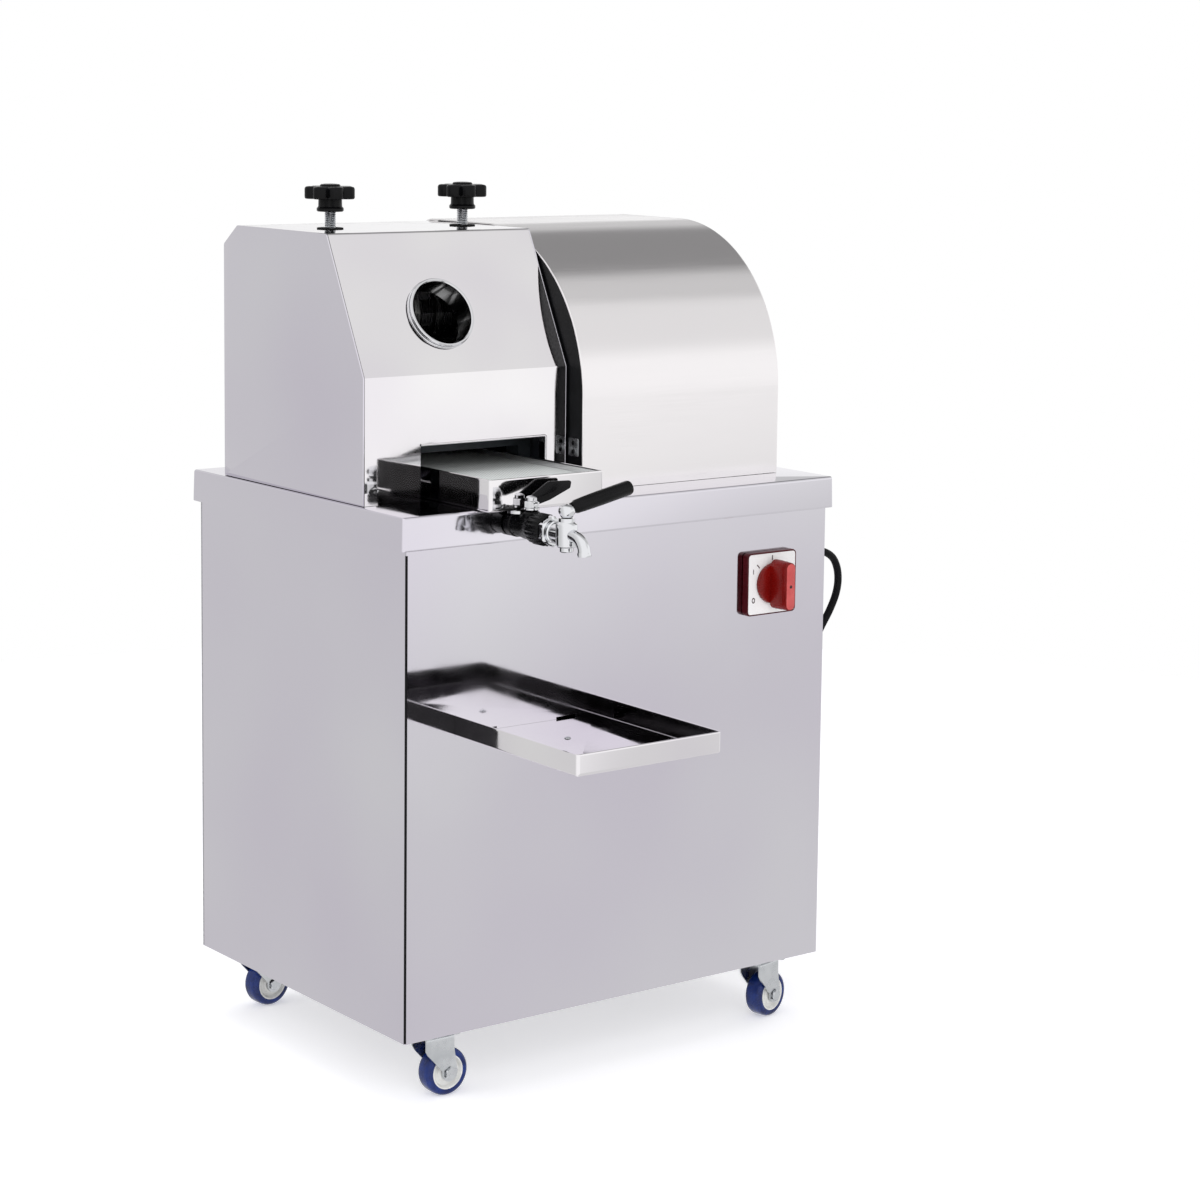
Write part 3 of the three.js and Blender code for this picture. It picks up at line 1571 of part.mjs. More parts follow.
makeDriveCover();
makeDrawer();
makeValve();
makeTap();

export default juicer;
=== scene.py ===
"""A cabinet-type electric sugarcane juicer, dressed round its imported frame.

Metres, +Z up, the front faces -Y. Shapes are worked out in millimetres on numpy grids.
"""
import math

import bmesh
import bpy
import numpy as np
from mathutils import Matrix, Vector


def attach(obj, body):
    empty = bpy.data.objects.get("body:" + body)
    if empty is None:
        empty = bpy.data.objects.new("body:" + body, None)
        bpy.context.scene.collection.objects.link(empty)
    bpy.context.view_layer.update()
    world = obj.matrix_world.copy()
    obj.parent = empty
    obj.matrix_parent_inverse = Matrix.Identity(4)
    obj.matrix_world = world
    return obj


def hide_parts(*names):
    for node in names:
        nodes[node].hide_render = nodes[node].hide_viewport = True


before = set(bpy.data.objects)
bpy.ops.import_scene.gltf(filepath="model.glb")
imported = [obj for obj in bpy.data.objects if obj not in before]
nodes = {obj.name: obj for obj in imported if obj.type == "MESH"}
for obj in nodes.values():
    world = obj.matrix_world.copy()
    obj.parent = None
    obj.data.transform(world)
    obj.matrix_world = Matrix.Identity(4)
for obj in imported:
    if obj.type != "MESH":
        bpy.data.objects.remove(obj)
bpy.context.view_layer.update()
scene = bpy.context.scene
scene.view_settings.view_transform = "Standard"


# Camera. The photograph was taken from the front left, a little above the cap, with a long lens
# tilted down by seven degrees; its place was fitted to the machine's corners.
CAMERA_PLACE = (-1.789, -2.425, 1.030)
CAMERA_YAW, CAMERA_PITCH, CAMERA_ROLL = (math.radians(a) for a in (37.05, 7.0, 0.67))
FOCAL_PX, FRAME_PX, SENSOR_MM = 2874.0, 1200.0, 36.0
CAMERA_SHIFT = -0.14

forward = Vector(
    (
        math.sin(CAMERA_YAW) * math.cos(CAMERA_PITCH),
        math.cos(CAMERA_YAW) * math.cos(CAMERA_PITCH),
        -math.sin(CAMERA_PITCH),
    )
)
level = Vector((math.cos(CAMERA_YAW), -math.sin(CAMERA_YAW), 0.0))
upward = level.cross(forward)
right = level * math.cos(CAMERA_ROLL) + upward * math.sin(CAMERA_ROLL)
upward = right.cross(forward)
lens = bpy.data.cameras.new("camera")
lens.sensor_width = SENSOR_MM
lens.lens = SENSOR_MM * FOCAL_PX / FRAME_PX
lens.shift_y = CAMERA_SHIFT
camera = bpy.data.objects.new("camera", lens)
turn = Matrix((right, upward, -forward)).transposed().to_4x4()
camera.matrix_world = Matrix.Translation(CAMERA_PLACE) @ turn
scene.collection.objects.link(camera)
scene.camera = camera


# Studio. A white sweep of floor under a soft, even light. Metal sees a pale room: a grey ceiling
# towards the back, a dimmer wall on the left, a floor that darkens towards the machine, and the
# unlit end of the room that its inner corners throw back, where light has turned three times.
FLOOR_RADIUS = 2.2
LEFT_AXIS, ROOM_LEFT = (-0.597, 0.791, -0.139), 0.68
CEILING_AXIS, ROOM_CEILING = (0.553, 0.352, 0.755), 0.27
UPPER_AXIS, ROOM_UPPER = (0.598, -0.572, 0.560), 0.80
FLOOR_AXIS, ROOM_FLOOR = (0.61, -0.355, -0.71), 0.72
DARK_AXIS, ROOM_DARK = (-0.597, -0.793, 0.0), 0.03


def shade(code, alpha=1.0):
    """The linear colour of an sRGB hex code: each channel through the sRGB curve's inverse."""
    channels = [int(code[i : i + 2], 16) / 255 for i in (1, 3, 5)]
    linear = [c / 12.92 if c <= 0.04045 else ((c + 0.055) / 1.055) ** 2.4 for c in channels]
    return (*linear, alpha)


def add(tree, kind, inputs=None, **settings):
    """Adds a node to a tree with its settings; inputs gives a socket a value or a link."""
    made = tree.nodes.new("ShaderNode" + kind)
    for key, value in settings.items():
        setattr(made, key, value)
    for socket, value in (inputs or {}).items():
        if isinstance(value, bpy.types.NodeSocket):
            tree.links.new(value, made.inputs[socket])
        else:
            made.inputs[socket].default_value = value
    return made


world = bpy.data.worlds.new("room")
scene.world = world
world.use_nodes = True
tree = world.node_tree
tree.nodes.clear()
ray = add(tree, "LightPath")
direction = add(tree, "TexCoord").outputs["Generated"]


def towards(axis, low, high, start, end):
    """A value that goes smoothly from start to end as the direction nears an axis."""
    along = add(tree, "VectorMath", {0: direction, 1: axis}, operation="DOT_PRODUCT")
    limits = {"Value": along.outputs["Value"], 1: low, 2: high, 3: start, 4: end}
    return add(tree, "MapRange", limits, interpolation_type="SMOOTHSTEP").outputs[0]


unlit_end = towards(DARK_AXIS, 0.80, 0.93, 1.0, ROOM_DARK)
turned_twice = add(tree, "Math", {0: ray.outputs["Glossy Depth"], 1: 1.5}, operation="GREATER_THAN")
seen_by_metal = add(
    tree, "Mix", {0: turned_twice.outputs[0], 2: 1.0, 3: unlit_end}, data_type="FLOAT"
).outputs[0]
turned_less = add(tree, "Math", {0: ray.outputs["Glossy Depth"], 1: 2.5}, operation="LESS_THAN")
unlit = add(tree, "MapRange", {"Value": turned_less.outputs[0], 3: ROOM_DARK, 4: 1.0}).outputs[0]
for part_of_room in (
    unlit,
    towards(LEFT_AXIS, 0.1, 0.9, 1.0, ROOM_LEFT),
    towards(CEILING_AXIS, 0.70, 0.78, 1.0, 0.62),
    towards(CEILING_AXIS, 0.88, 0.95, 1.0, ROOM_CEILING / 0.62),
    towards(UPPER_AXIS, 0.93, 0.985, 1.0, ROOM_UPPER),
    towards(FLOOR_AXIS, 0.70, 0.80, 1.0, ROOM_FLOOR),
):
    seen_by_metal = add(
        tree, "Math", {0: seen_by_metal, 1: part_of_room}, operation="MULTIPLY"
    ).outputs[0]
reflected = add(tree, "Background", {"Color": shade("#FFFFFF"), "Strength": seen_by_metal})
ambient = add(tree, "Background", {"Color": shade("#FCFCFF"), "Strength": 0.62})
backdrop = add(tree, "Background", {"Color": shade("#FFFFFF"), "Strength": 1.0})
shiny = add(
    tree,
    "Math",
    {0: ray.outputs["Is Glossy Ray"], 1: ray.outputs["Is Transmission Ray"]},
    operation="MAXIMUM",
)
lit = add(tree, "MixShader", {0: shiny.outputs[0], 1: ambient.outputs[0], 2: reflected.outputs[0]})
seen = add(
    tree, "MixShader", {0: ray.outputs["Is Camera Ray"], 1: lit.outputs[0], 2: backdrop.outputs[0]}
)
add(tree, "OutputWorld", {"Surface": seen.outputs[0]})

floor_mesh = bpy.data.meshes.new("floor")
angles = np.linspace(0, 2 * np.pi, 96, endpoint=False)
rim = np.column_stack((FLOOR_RADIUS * np.cos(angles), FLOOR_RADIUS * np.sin(angles), 0 * angles))
floor_mesh.from_pydata(rim.tolist(), [], [list(range(len(rim)))])
floor = bpy.data.objects.new("floor", floor_mesh)
scene.collection.objects.link(floor)
paper = bpy.data.materials.new("white paper sweep")
paper.use_nodes = True
tree = paper.node_tree
tree.nodes.clear()
ray = add(tree, "LightPath")
matt = add(tree, "BsdfDiffuse", {"Color": shade("#F2F2F4")})
glow = add(tree, "Emission", {"Color": shade("#FFFFFF"), "Strength": 0.42})
white = add(tree, "AddShader", {0: matt.outputs[0], 1: glow.outputs[0]})
clear = add(tree, "BsdfTransparent")
floor_seen = add(
    tree,
    "MixShader",
    {0: ray.outputs["Is Glossy Ray"], 1: white.outputs[0], 2: clear.outputs[0]},
)
add(tree, "OutputMaterial", {"Surface": floor_seen.outputs[0]})
floor_mesh.materials.append(paper)

LAMPS = {
    "front_softbox": ((-0.9, -2.3, 1.9), 1.7, 21.0),
    "left_softbox": ((-2.3, 0.2, 1.6), 1.5, 12.0),
    "top_softbox": ((0.3, 0.6, 2.8), 2.0, 16.0),
}
for name, (place, size, power) in LAMPS.items():
    light = bpy.data.lights.new(name, "AREA")
    light.size = size
    light.energy = power
    light.specular_factor = 0.25
    lamp = bpy.data.objects.new(name, light)
    lamp.location = place
    lamp.rotation_euler = (Vector((0, 0, 0.5)) - lamp.location).to_track_quat("-Z", "Y").to_euler()
    scene.collection.objects.link(lamp)
    lamp.visible_glossy = False


# Mains cord. A round black PVC lead of three cores leaves the right panel through its gland,
# hangs to the floor and ends in a coil of two layers behind the cabinet's corner, held by a tie.
MM = 0.001
CORD = 8.5
CAP_WIDTH, CAP_DEPTH, CAP_TOP = 557.0, 416.0, 604.5
CAP_FRONT = -108.0
CORD_ROUTE = [
    (594.6, 70, 508.5),
    (604, 70, 508),
    (613, 70, 505),
    (623, 71, 498),
    (630, 72, 486),
    (633.5, 74, 471),
    (633, 77, 455),
    (628, 81, 437),
    (621, 86, 419),
    (614, 92, 398),
    (608, 99, 372),
    (603, 107, 340),
    (600, 116, 300),
    (598, 126, 255),
    (596.5, 137, 205),
    (595.5, 150, 155),
    (595, 165, 108),
    (595, 183, 66),
    (595.2, 205, 33),
    (595.4, 232, 12),
    (595.4, 262, 4.9),
    (595.4, 292, 4.5),
    (595.4, 321.2, 4.5),
]
COIL_ACROSS, COIL_BACK = 652.4, 330.0
COIL_OUTER, COIL_PITCH, COIL_TURNS, COIL_TAIL, FLOOR_LINE = 57.0, 10.2, 1.5, 30.0, 4.5


def placed(across, back, up):
    """Points from distances across from the cap's left edge, back from its front, and up."""
    parts = np.broadcast_arrays(across - CAP_WIDTH / 2, CAP_FRONT + back, up)
    return np.stack(parts, -1).astype(float)


def spline(points, steps):
    """A centripetal Catmull-Rom curve through the points, with steps samples to a span."""
    points = np.asarray(points, float)
    padded = np.vstack((2 * points[0] - points[1], points, 2 * points[-1] - points[-2]))
    gaps = np.sqrt(np.linalg.norm(np.diff(padded, axis=0), axis=1))
    share = np.linspace(0, 1, steps, endpoint=False)[:, None]
    spans = []
    for i, (p0, p1, p2, p3) in enumerate(zip(padded, padded[1:], padded[2:], padded[3:])):
        k0, k1, k2, k3 = np.cumsum([0, *gaps[i : i + 3]])
        t = k1 + (k2 - k1) * share
        a1 = (p0 * (k1 - t) + p1 * (t - k0)) / (k1 - k0)
        a2 = (p1 * (k2 - t) + p2 * (t - k1)) / (k2 - k1)
        a3 = (p2 * (k3 - t) + p3 * (t - k2)) / (k3 - k2)
        b1 = (a1 * (k2 - t) + a2 * (t - k0)) / (k2 - k0)
        b2 = (a2 * (k3 - t) + a3 * (t - k1)) / (k3 - k1)
        spans.append((b1 * (k2 - t) + b2 * (t - k1)) / (k2 - k1))
    return np.vstack(spans + [points[-1:]])


def coil_line(steps):
    """The coil's middle line: a spiral in on the floor, a climb where it reverses, a spiral out."""
    along = np.linspace(0, 2 * COIL_TURNS + 0.5, steps)
    inwards = np.minimum(along, COIL_TURNS)
    outwards = np.maximum(along - COIL_TURNS - 0.5, 0)
    radius = COIL_OUTER - COIL_PITCH * (inwards - outwards)
    climb = FLOOR_LINE + COIL_PITCH * np.clip((along - COIL_TURNS) / 0.5, 0, 1)
    angle = np.pi - along * 2 * np.pi
    return placed(COIL_ACROSS + radius * np.cos(angle), COIL_BACK + radius * np.sin(angle), climb)


def tube(path, radius, sides=16):
    """A ring of points round each point of a path and square to it, with one radius or one for
    each point; each ring's frame is the last one's, turned as little as the path turns."""
    path = np.asarray(path, float)
    along = np.gradient(path, axis=0)
    along /= np.linalg.norm(along, axis=1)[:, None]
    side = np.cross(along[0], (0.0, 0.0, 1.0) if abs(along[0][2]) < 0.9 else (0.0, 1.0, 0.0))
    carried = []
    for heading in along:
        side = side - heading * np.dot(side, heading)
        side /= np.linalg.norm(side)
        carried.append(side)
    side = np.array(carried)[:, None, :]
    over = np.cross(along, side[:, 0])[:, None, :]
    around = np.linspace(0, 2 * np.pi, sides, endpoint=False)[None, :, None]
    radius = np.broadcast_to(radius, len(path))[:, None, None]
    return path[:, None, :] + radius * (np.cos(around) * side + np.sin(around) * over)


def mesh_of(name, grids):
    """A mesh from grids of points in millimetres. Each row closes on itself and joins the next
    one by quads; the first and last rows are filled, unless they lie on each other."""
    corners, faces, start = [], [], 0
    for grid in grids:
        rows, columns = grid.shape[:2]
        index = start + np.arange(rows * columns).reshape(rows, columns)
        after = np.roll(index, -1, axis=1)
        quads = np.stack((index[:-1], after[:-1], after[1:], index[1:]), -1)
        faces += quads.reshape(-1, 4).tolist()
        if not np.allclose(grid[0], grid[-1]):
            faces += [index[0][::-1].tolist(), index[-1].tolist()]
        corners.append(grid.reshape(-1, 3))
        start += rows * columns
    mesh = bpy.data.meshes.new(name)
    mesh.from_pydata((np.vstack(corners) * MM).tolist(), [], faces)
    work = bmesh.new()
    work.from_mesh(mesh)
    bmesh.ops.remove_doubles(work, verts=work.verts, dist=1e-6)
    bmesh.ops.recalc_face_normals(work, faces=work.faces)
    work.to_mesh(mesh)
    work.free()
    return mesh


def pierced(mesh, holes):
    """The mesh with the shapes of other meshes cut out of it."""
    blank = bpy.data.objects.new("blank", mesh)
    scene.collection.objects.link(blank)
    cutters = []
    for hole in holes:
        cutter = bpy.data.objects.new("cutter", mesh_of("cutter", [hole]))
        scene.collection.objects.link(cutter)
        cutters.append(cutter)
        cut = blank.modifiers.new("cut", "BOOLEAN")
        cut.operation, cut.solver, cut.object = "DIFFERENCE", "EXACT", cutter
    evaluated = blank.evaluated_get(bpy.context.evaluated_depsgraph_get())
    made = bpy.data.meshes.new_from_object(evaluated)
    for used in (blank, *cutters):
        bpy.data.objects.remove(used)
    return made


def piece(name, grids, finish, body, stands_for=(), holes=(), sharp=35):
    """A smooth-shaded piece of one finish that rides on a body. Edges that bend by more than the
    sharp angle stay crisp; stands_for names the CAD nodes that it replaces."""
    mesh = mesh_of(name, grids)
    if holes:
        mesh = pierced(mesh, holes)
        mesh.name = name
    mesh.polygons.foreach_set("use_smooth", np.ones(len(mesh.polygons), bool))
    mesh.set_sharp_from_angle(angle=math.radians(sharp))
    mesh.materials.clear()
    mesh.materials.append(finish)
    made = bpy.data.objects.new(name, mesh)
    scene.collection.objects.link(made)
    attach(made, body)
    if stands_for:
        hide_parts(*stands_for)
    return made


def material(name, slot, colour, roughness, metallic=0.0, **sockets):
    """A principled material for one of the record's slots, with its tree and shader; the other
    sockets are set by their own names."""
    made = bpy.data.materials.new(name)
    made["slot"] = slot
    made.use_nodes = True
    skin = made.node_tree.nodes["Principled BSDF"]
    skin.inputs["Base Color"].default_value = shade(colour)
    skin.inputs["Roughness"].default_value = roughness
    skin.inputs["Metallic"].default_value = metallic
    for socket, value in sockets.items():
        skin.inputs[socket.replace("_", " ")].default_value = value
    return made, made.node_tree, skin


def speckle(tree, size_mm, stretch=(1, 1, 1), detail=2.0):
    """Noise of a real size in object space, stretched along the axes by the given factors."""
    place = add(tree, "TexCoord").outputs["Object"]
    spread = add(tree, "Mapping", {"Vector": place, "Scale": [1 / s for s in stretch]})
    inputs = {"Vector": spread.outputs[0], "Scale": 1000.0 / size_mm, "Detail": detail}
    return add(tree, "TexNoise", inputs).outputs["Fac"]


def worn(tree, skin, grain, socket, low, high, start=0.3, end=0.7):
    """Drives a socket of the shader from low to high by a grain's value from start to end; hex
    codes give a colour."""
    if isinstance(low, str):
        ramp = add(tree, "ValToRGB", {"Fac": grain})
        for element, place, code in zip(ramp.color_ramp.elements, (start, end), (low, high)):
            element.position, element.color = place, shade(code)
        tree.links.new(ramp.outputs[0], skin.inputs[socket])
        return
    limits = {"Value": grain, 1: start, 2: end, 3: low, 4: high}
    tree.links.new(add(tree, "MapRange", limits).outputs[0], skin.inputs[socket])


def relief(tree, skin, height, depth_mm):
    """Bump of a real depth from a height between 0 and 1."""
    made = add(tree, "Bump", {"Height": height, "Distance": depth_mm * MM, "Strength": 1.0})
    tree.links.new(made.outputs[0], skin.inputs["Normal"])


# PVC sheath: extruded, so smooth to the hand, with a faint grain and a dull sheen
cord_pvc, tree, skin = material(
    "extruded PVC", "black_rubber", "#0B0B0D", 0.42, Specular_IOR_Level=0.12
)
grain = speckle(tree, 0.9)
worn(tree, skin, grain, "Roughness", 0.36, 0.5)
worn(tree, skin, grain, "Base Color", "#08080A", "#101013")
relief(tree, skin, grain, 0.03)

free = spline([placed(*p) for p in CORD_ROUTE], 8)
coil = coil_line(260)
tail = coil[-1] - np.array([[0, COIL_TAIL * share, 0] for share in (0.5, 1.0)])
cord_line = np.vstack((free[:-1], coil, tail))
cord_nodes = ["power_cord", "cord_coil"]
cord = piece("mains_cord", [tube(cord_line, CORD / 2)], cord_pvc, "cabinet", cord_nodes)


# Strain relief. A moulded nylon gland is screwed into the right panel: a hexagon outside, a ribbed
# dome nut, and a tapered sleeve of soft rings that keeps the cord from kinking.
GLAND_BACK, GLAND_UP, GLAND_FACE = 70.0, 508.5, 550.3
GLAND_FLATS, GLAND_NUT, RELIEF_END = 24.0, 6.0, 594.3


def arc(cx, cy, radius, start, end, steps=6):
    """Points on a circle's arc from start to end, in degrees."""
    turned = np.radians(np.linspace(start, end, steps + 1))
    return np.column_stack((cx + radius * np.cos(turned), cy + radius * np.sin(turned)))


def lathe(profile, at, axis, sides=40, shaped=None):
    """A profile of [radius, distance along] carried round an axis through a point: at + d axis +
    r (cos t side + sin t over). shaped(r, t) may change the radius round the turn."""
    profile = np.asarray(profile, float)
    axis = np.asarray(axis, float) / np.linalg.norm(axis)
    side = np.cross(axis, (0.0, 0.0, 1.0) if abs(axis[2]) < 0.9 else (1.0, 0.0, 0.0))
    side /= np.linalg.norm(side)
    over = np.cross(axis, side)
    around = np.linspace(0, 2 * np.pi, sides, endpoint=False)
    radius = profile[:, 0, None] * np.ones(sides)
    if shaped:
        radius = shaped(radius, around)
    ring = np.cos(around)[:, None] * side + np.sin(around)[:, None] * over
    return np.asarray(at) + profile[:, 1, None, None] * axis + radius[..., None] * ring


def hexagon(flats, height, at, axis):
    """A nut or bolt head: r = flats / 2 / cos of the angle to the nearest flat, with the corners
    taken off both ends by a cone."""
    corner = flats / math.sqrt(3)
    chamfer = (corner - flats * 0.48) * 0.6
    rows = [(0.01, 0), (flats * 0.48, 0), (corner, chamfer), (corner, height - chamfer)]
    rows += [(flats * 0.48, height), (0.01, height)]
    sixth = np.pi / 3
    to_flat = lambda around: (around + sixth / 2) % sixth - sixth / 2
    shaped = lambda radius, around: np.minimum(radius, flats / 2 / np.cos(to_flat(around)))
    return lathe(rows, at, axis, 48, shaped)


# Black nylon: injection moulded, slightly waxy
nylon, tree, skin = material(
    "moulded nylon", "black_rubber", "#0E0E10", 0.4, Specular_IOR_Level=0.2
)
grain = speckle(tree, 1.6)
worn(tree, skin, grain, "Roughness", 0.34, 0.48)
worn(tree, skin, grain, "Base Color", "#0B0B0D", "#141416")
relief(tree, skin, grain, 0.04)

gland_at = placed(0, GLAND_BACK, GLAND_UP)
rings = 9
ring_pitch = (RELIEF_END - 568.0) / rings
sleeve = [(0.01, 564.0), (8.6, 564.0)]
for i in range(rings):
    reach, start = 8.4 - (8.4 - CORD / 2 - 1.4) * i / (rings - 1), 568.0 + i * ring_pitch
    sleeve += [(reach - 0.8, start), (reach, start + 0.5), (reach, start + ring_pitch * 0.55)]
    sleeve += [(reach - 0.8, start + ring_pitch * 0.7)]
sleeve += [(CORD / 2 + 0.4, RELIEF_END), (CORD / 2 - 0.4, RELIEF_END)]
fluted = lambda radius, around: radius - 0.7 * (1 - np.cos(18 * around)) / 2 * (radius > 10)
dome = [(11.0, 556.2), (11.4, 557), (11.4, 563), (10.6, 565.5), (8.8, 567.4), (6.5, 568)]
gland = piece(
    "cord_gland_dressed",
    [
        hexagon(GLAND_FLATS, GLAND_NUT, gland_at + (GLAND_FACE, 0, 0), (1, 0, 0)),
        lathe([(0.01, 542.2), (8.2, 542.2), (8.2, 550.2), (0.01, 550.2)], gland_at, (1, 0, 0)),
        hexagon(19.0, 4.5, gland_at + (542.4, 0, 0), (1, 0, 0)),
        lathe([(0.01, 556.2), *dome, (0.01, 568)], gland_at, (1, 0, 0), 72, fluted),
        lathe(sleeve, gland_at, (1, 0, 0), 32),
    ],
    nylon,
    "cabinet",
    ["cord_gland"],
)


# Mains plug. Black PVC moulded over two flat blades, thicker in the middle than at its ends, with a
# ribbed neck; it lies beside the coil on the cord's end.
PLUG_NECK, PLUG_BODY, PLUG_BLADE = 20.0, 44.0, 18.0
BLADE_APART, BLADE_WIDE, BLADE_THICK = 13.0, 6.4, 2.0


def filleted(points, radius, closed=False, steps=5):
    """A polyline with its corners rounded: each gives way to an arc that touches both edges, a
    distance radius / tan(half the angle) from it. radius is one number or one for each corner."""
    points = np.asarray(points, float)
    count = len(points)
    radii = np.broadcast_to(radius, count)
    out = []
    for i, corner in enumerate(points):
        if not closed and i in (0, count - 1):
            out.append(corner[None])
            continue
        back, on = points[i - 1] - corner, points[(i + 1) % count] - corner
        back, on = back / np.linalg.norm(back), on / np.linalg.norm(on)
        half = math.acos(max(-1.0, min(1.0, float(back @ on)))) / 2
        middle = (back + on) / np.linalg.norm(back + on)
        centre = corner + middle * radii[i] / math.sin(half)
        bend = np.linspace(half - np.pi / 2, np.pi / 2 - half, steps + 1)[:, None]
        sideways = (on - middle * (on @ middle)) / math.sin(half)
        out.append(centre + radii[i] * (np.sin(bend) * sideways - np.cos(bend) * middle))
    return np.vstack(out)


def box_outline(x0, x1, y0, y1, corner, inset=0.0):
    """A rectangle with rounded corners, counter-clockwise, moved in by an inset."""
    x0, x1, y0, y1 = x0 + inset, x1 - inset, y0 + inset, y1 - inset
    return filleted([(x0, y0), (x1, y0), (x1, y1), (x0, y1)], max(corner - inset, 0.2), True)


plug_at = tail[-1] - (0, 0.3, 0)
body_end = plug_at[1] - PLUG_NECK + 2
plug_rows = [(0, 0.2, 0.2), (0.3, 8, 7), (3, 11.5, 9), (9, 16.5, 12.4), (17, 19, 14.1)]
plug_rows += [(25, 18.4, 13.7), (34, 18.8, 14), (41, 19, 14.1), (43.2, 18.6, 13.6)]
plug_rows += [(44, 17.4, 12.4)]
plug_body = []
for along, half_wide, half_thick in plug_rows:
    ring = box_outline(-half_wide, half_wide, -half_thick, half_thick, half_thick * 0.55)
    up = plug_at[2] + ring[:, 1]
    plug_body.append(np.column_stack((plug_at[0] + ring[:, 0], 0 * up + body_end - along, up)))
neck = [(0.01, 0), (CORD / 2 + 0.9, 0)]
for i in range(6):
    reach, start = CORD / 2 + 1.2 + 0.45 * i, -1.5 - i * 3.0
    neck += [(reach, start), (reach, start - 1.6)]
    neck += [(reach - 0.9, start - 2.0), (reach - 0.9, start - 2.8)]
neck += [(7.4, -PLUG_NECK + 0.5), (0.01, -PLUG_NECK + 0.5)]
plug = piece(
    "mains_plug_dressed",
    [np.stack(plug_body), lathe(neck, plug_at, (0, 1, 0))],
    cord_pvc,
    "cabinet",
    ["mains_plug"],
)

# Nickel-plated brass: bright, with a warm cast
nickel, tree, skin = material("nickel plate", "zinc_plate", "#CFC8BA", 0.18, 1.0)
worn(tree, skin, speckle(tree, 2.0), "Roughness", 0.12, 0.28)

blade_end = body_end - PLUG_BODY
blade_grids = []
for middle in (-BLADE_APART / 2, BLADE_APART / 2):
    rows = []
    for tip, narrowed in ((PLUG_BLADE + 4, 0), (2.5, 0), (0.8, 0.3), (0, 0.6)):
        along = tip - PLUG_BLADE
        half_thick, half_wide = BLADE_THICK / 2, BLADE_WIDE / 2
        ring = box_outline(-half_thick, half_thick, -half_wide, half_wide, 0.4)
        ring = ring * (1 - narrowed / 2, 1 - narrowed / 3)
        up = plug_at[2] + ring[:, 1]
        rows.append(
            np.column_stack((plug_at[0] + middle + ring[:, 0], 0 * up + blade_end + along, up))
        )
    blade_grids.append(np.stack(rows))
blades = piece("plug_blades", blade_grids, nickel, "cabinet")

# Hook-and-loop tie: a woven nylon strap drawn round the coil's strands and lapped on itself
woven, tree, skin = material("woven nylon tape", "black_rubber", "#202126", 0.85)
worn(tree, skin, speckle(tree, 0.7, detail=4.0), "Base Color", "#15161A", "#2C2D33")
relief(tree, skin, speckle(tree, 0.7), 0.2)

tie_inner = box_outline(-COIL_OUTER - 5.6, -COIL_OUTER + 16.2, 0.15, 19.9, 5.0)
tie_outer = box_outline(-COIL_OUTER - 6.8, -COIL_OUTER + 17.4, 0.1, 21.0, 6.0)
tie_turn = math.radians(38)
tie_rows = []
tie_faces = ((-6, tie_inner), (-6, tie_outer), (6, tie_outer), (6, tie_inner), (-6, tie_inner))
for width, loop in tie_faces:
    across_tie = COIL_ACROSS + loop[:, 0] * math.cos(tie_turn) - width * math.sin(tie_turn)
    along_tie = COIL_BACK + loop[:, 0] * math.sin(tie_turn) + width * math.cos(tie_turn)
    tie_rows.append(placed(across_tie, along_tie, loop[:, 1]))
tie = piece("coil_tie", [np.stack(tie_rows)], woven, "cabinet")


# Cabinet. A welded angle-iron frame in black paint carries polished stainless panels and a brushed
# back with two rows of louvres, a base plate, a shelf for the motor and the folded cap.
CAP_SKIRT, SHEET, CAP_FOLD, CAP_CORNER = 34.0, 2.0, 2.6, 3.0
BELT_SLOT = (365.0, 402.0, 87.0, 247.0)
LOUVRE_LENGTH, LOUVRE_HEIGHT, LOUVRE_GAP, LOUVRE_FOOT, LOUVRE_PROUD = 60.0, 6.0, 14.0, 432.5, 3.6
PANEL_REAR = 412.0

# Mirror-polished stainless sheet: buffed along its length, so the room shows in it nearly sharp,
# with the slow waves that a thin sheet keeps and the dull marks that hands leave
polished, tree, skin = material("polished stainless sheet", "polished_steel", "#E3DFE8", 0.06, 1.0)
worn(tree, skin, speckle(tree, 55, detail=3.0), "Roughness", 0.035, 0.11, 0.35, 0.7)
worn(tree, skin, speckle(tree, 260, detail=1.0), "Base Color", "#DFDAE5", "#E6E4EA")
relief(tree, skin, speckle(tree, 140, detail=0.0), 0.05)

# Mirror-finished stainless: buffed once more after it was formed, so it is clearer; its colour is
# painted lighter than the panels', a painted reflection of the brighter room that the head, the cup
# tray and the drawer show
mirror, tree, skin = material("mirror-finished stainless painted lighter", "polished_steel", "#F2EEF2", 0.05, 1.0)
worn(tree, skin, speckle(tree, 45, detail=3.0), "Roughness", 0.03, 0.1, 0.35, 0.7)
worn(tree, skin, speckle(tree, 120, detail=1.0), "Base Color", "#EEEAEF", "#F5F3F4")
relief(tree, skin, speckle(tree, 120, detail=0.0), 0.04)

# Brushed stainless sheet: a belt leaves fine scratches along it; they're drawn 1 mm apart so that
# they show
brushed, tree, skin = material("brushed stainless sheet", "brushed_steel", "#C6C5CB", 0.3, 1.0)
grain = speckle(tree, 1.0, (80, 80, 1), 3.0)
worn(tree, skin, grain, "Roughness", 0.2, 0.42)
worn(tree, skin, grain, "Base Color", "#B5B4BA", "#D2D1D6")
relief(tree, skin, grain, 0.03)

# Black paint on steel: sprayed, so it has a fine orange peel under a half gloss
black_paint, tree, skin = material(
    "black spray paint", "black_paint", "#0A0A0C", 0.38, Specular_IOR_Level=0.25
)
grain = speckle(tree, 2.4)
worn(tree, skin, grain, "Roughness", 0.3, 0.48)
worn(tree, skin, speckle(tree, 30, detail=4.0), "Base Color", "#08080A", "#121315")
relief(tree, skin, grain, 0.05)

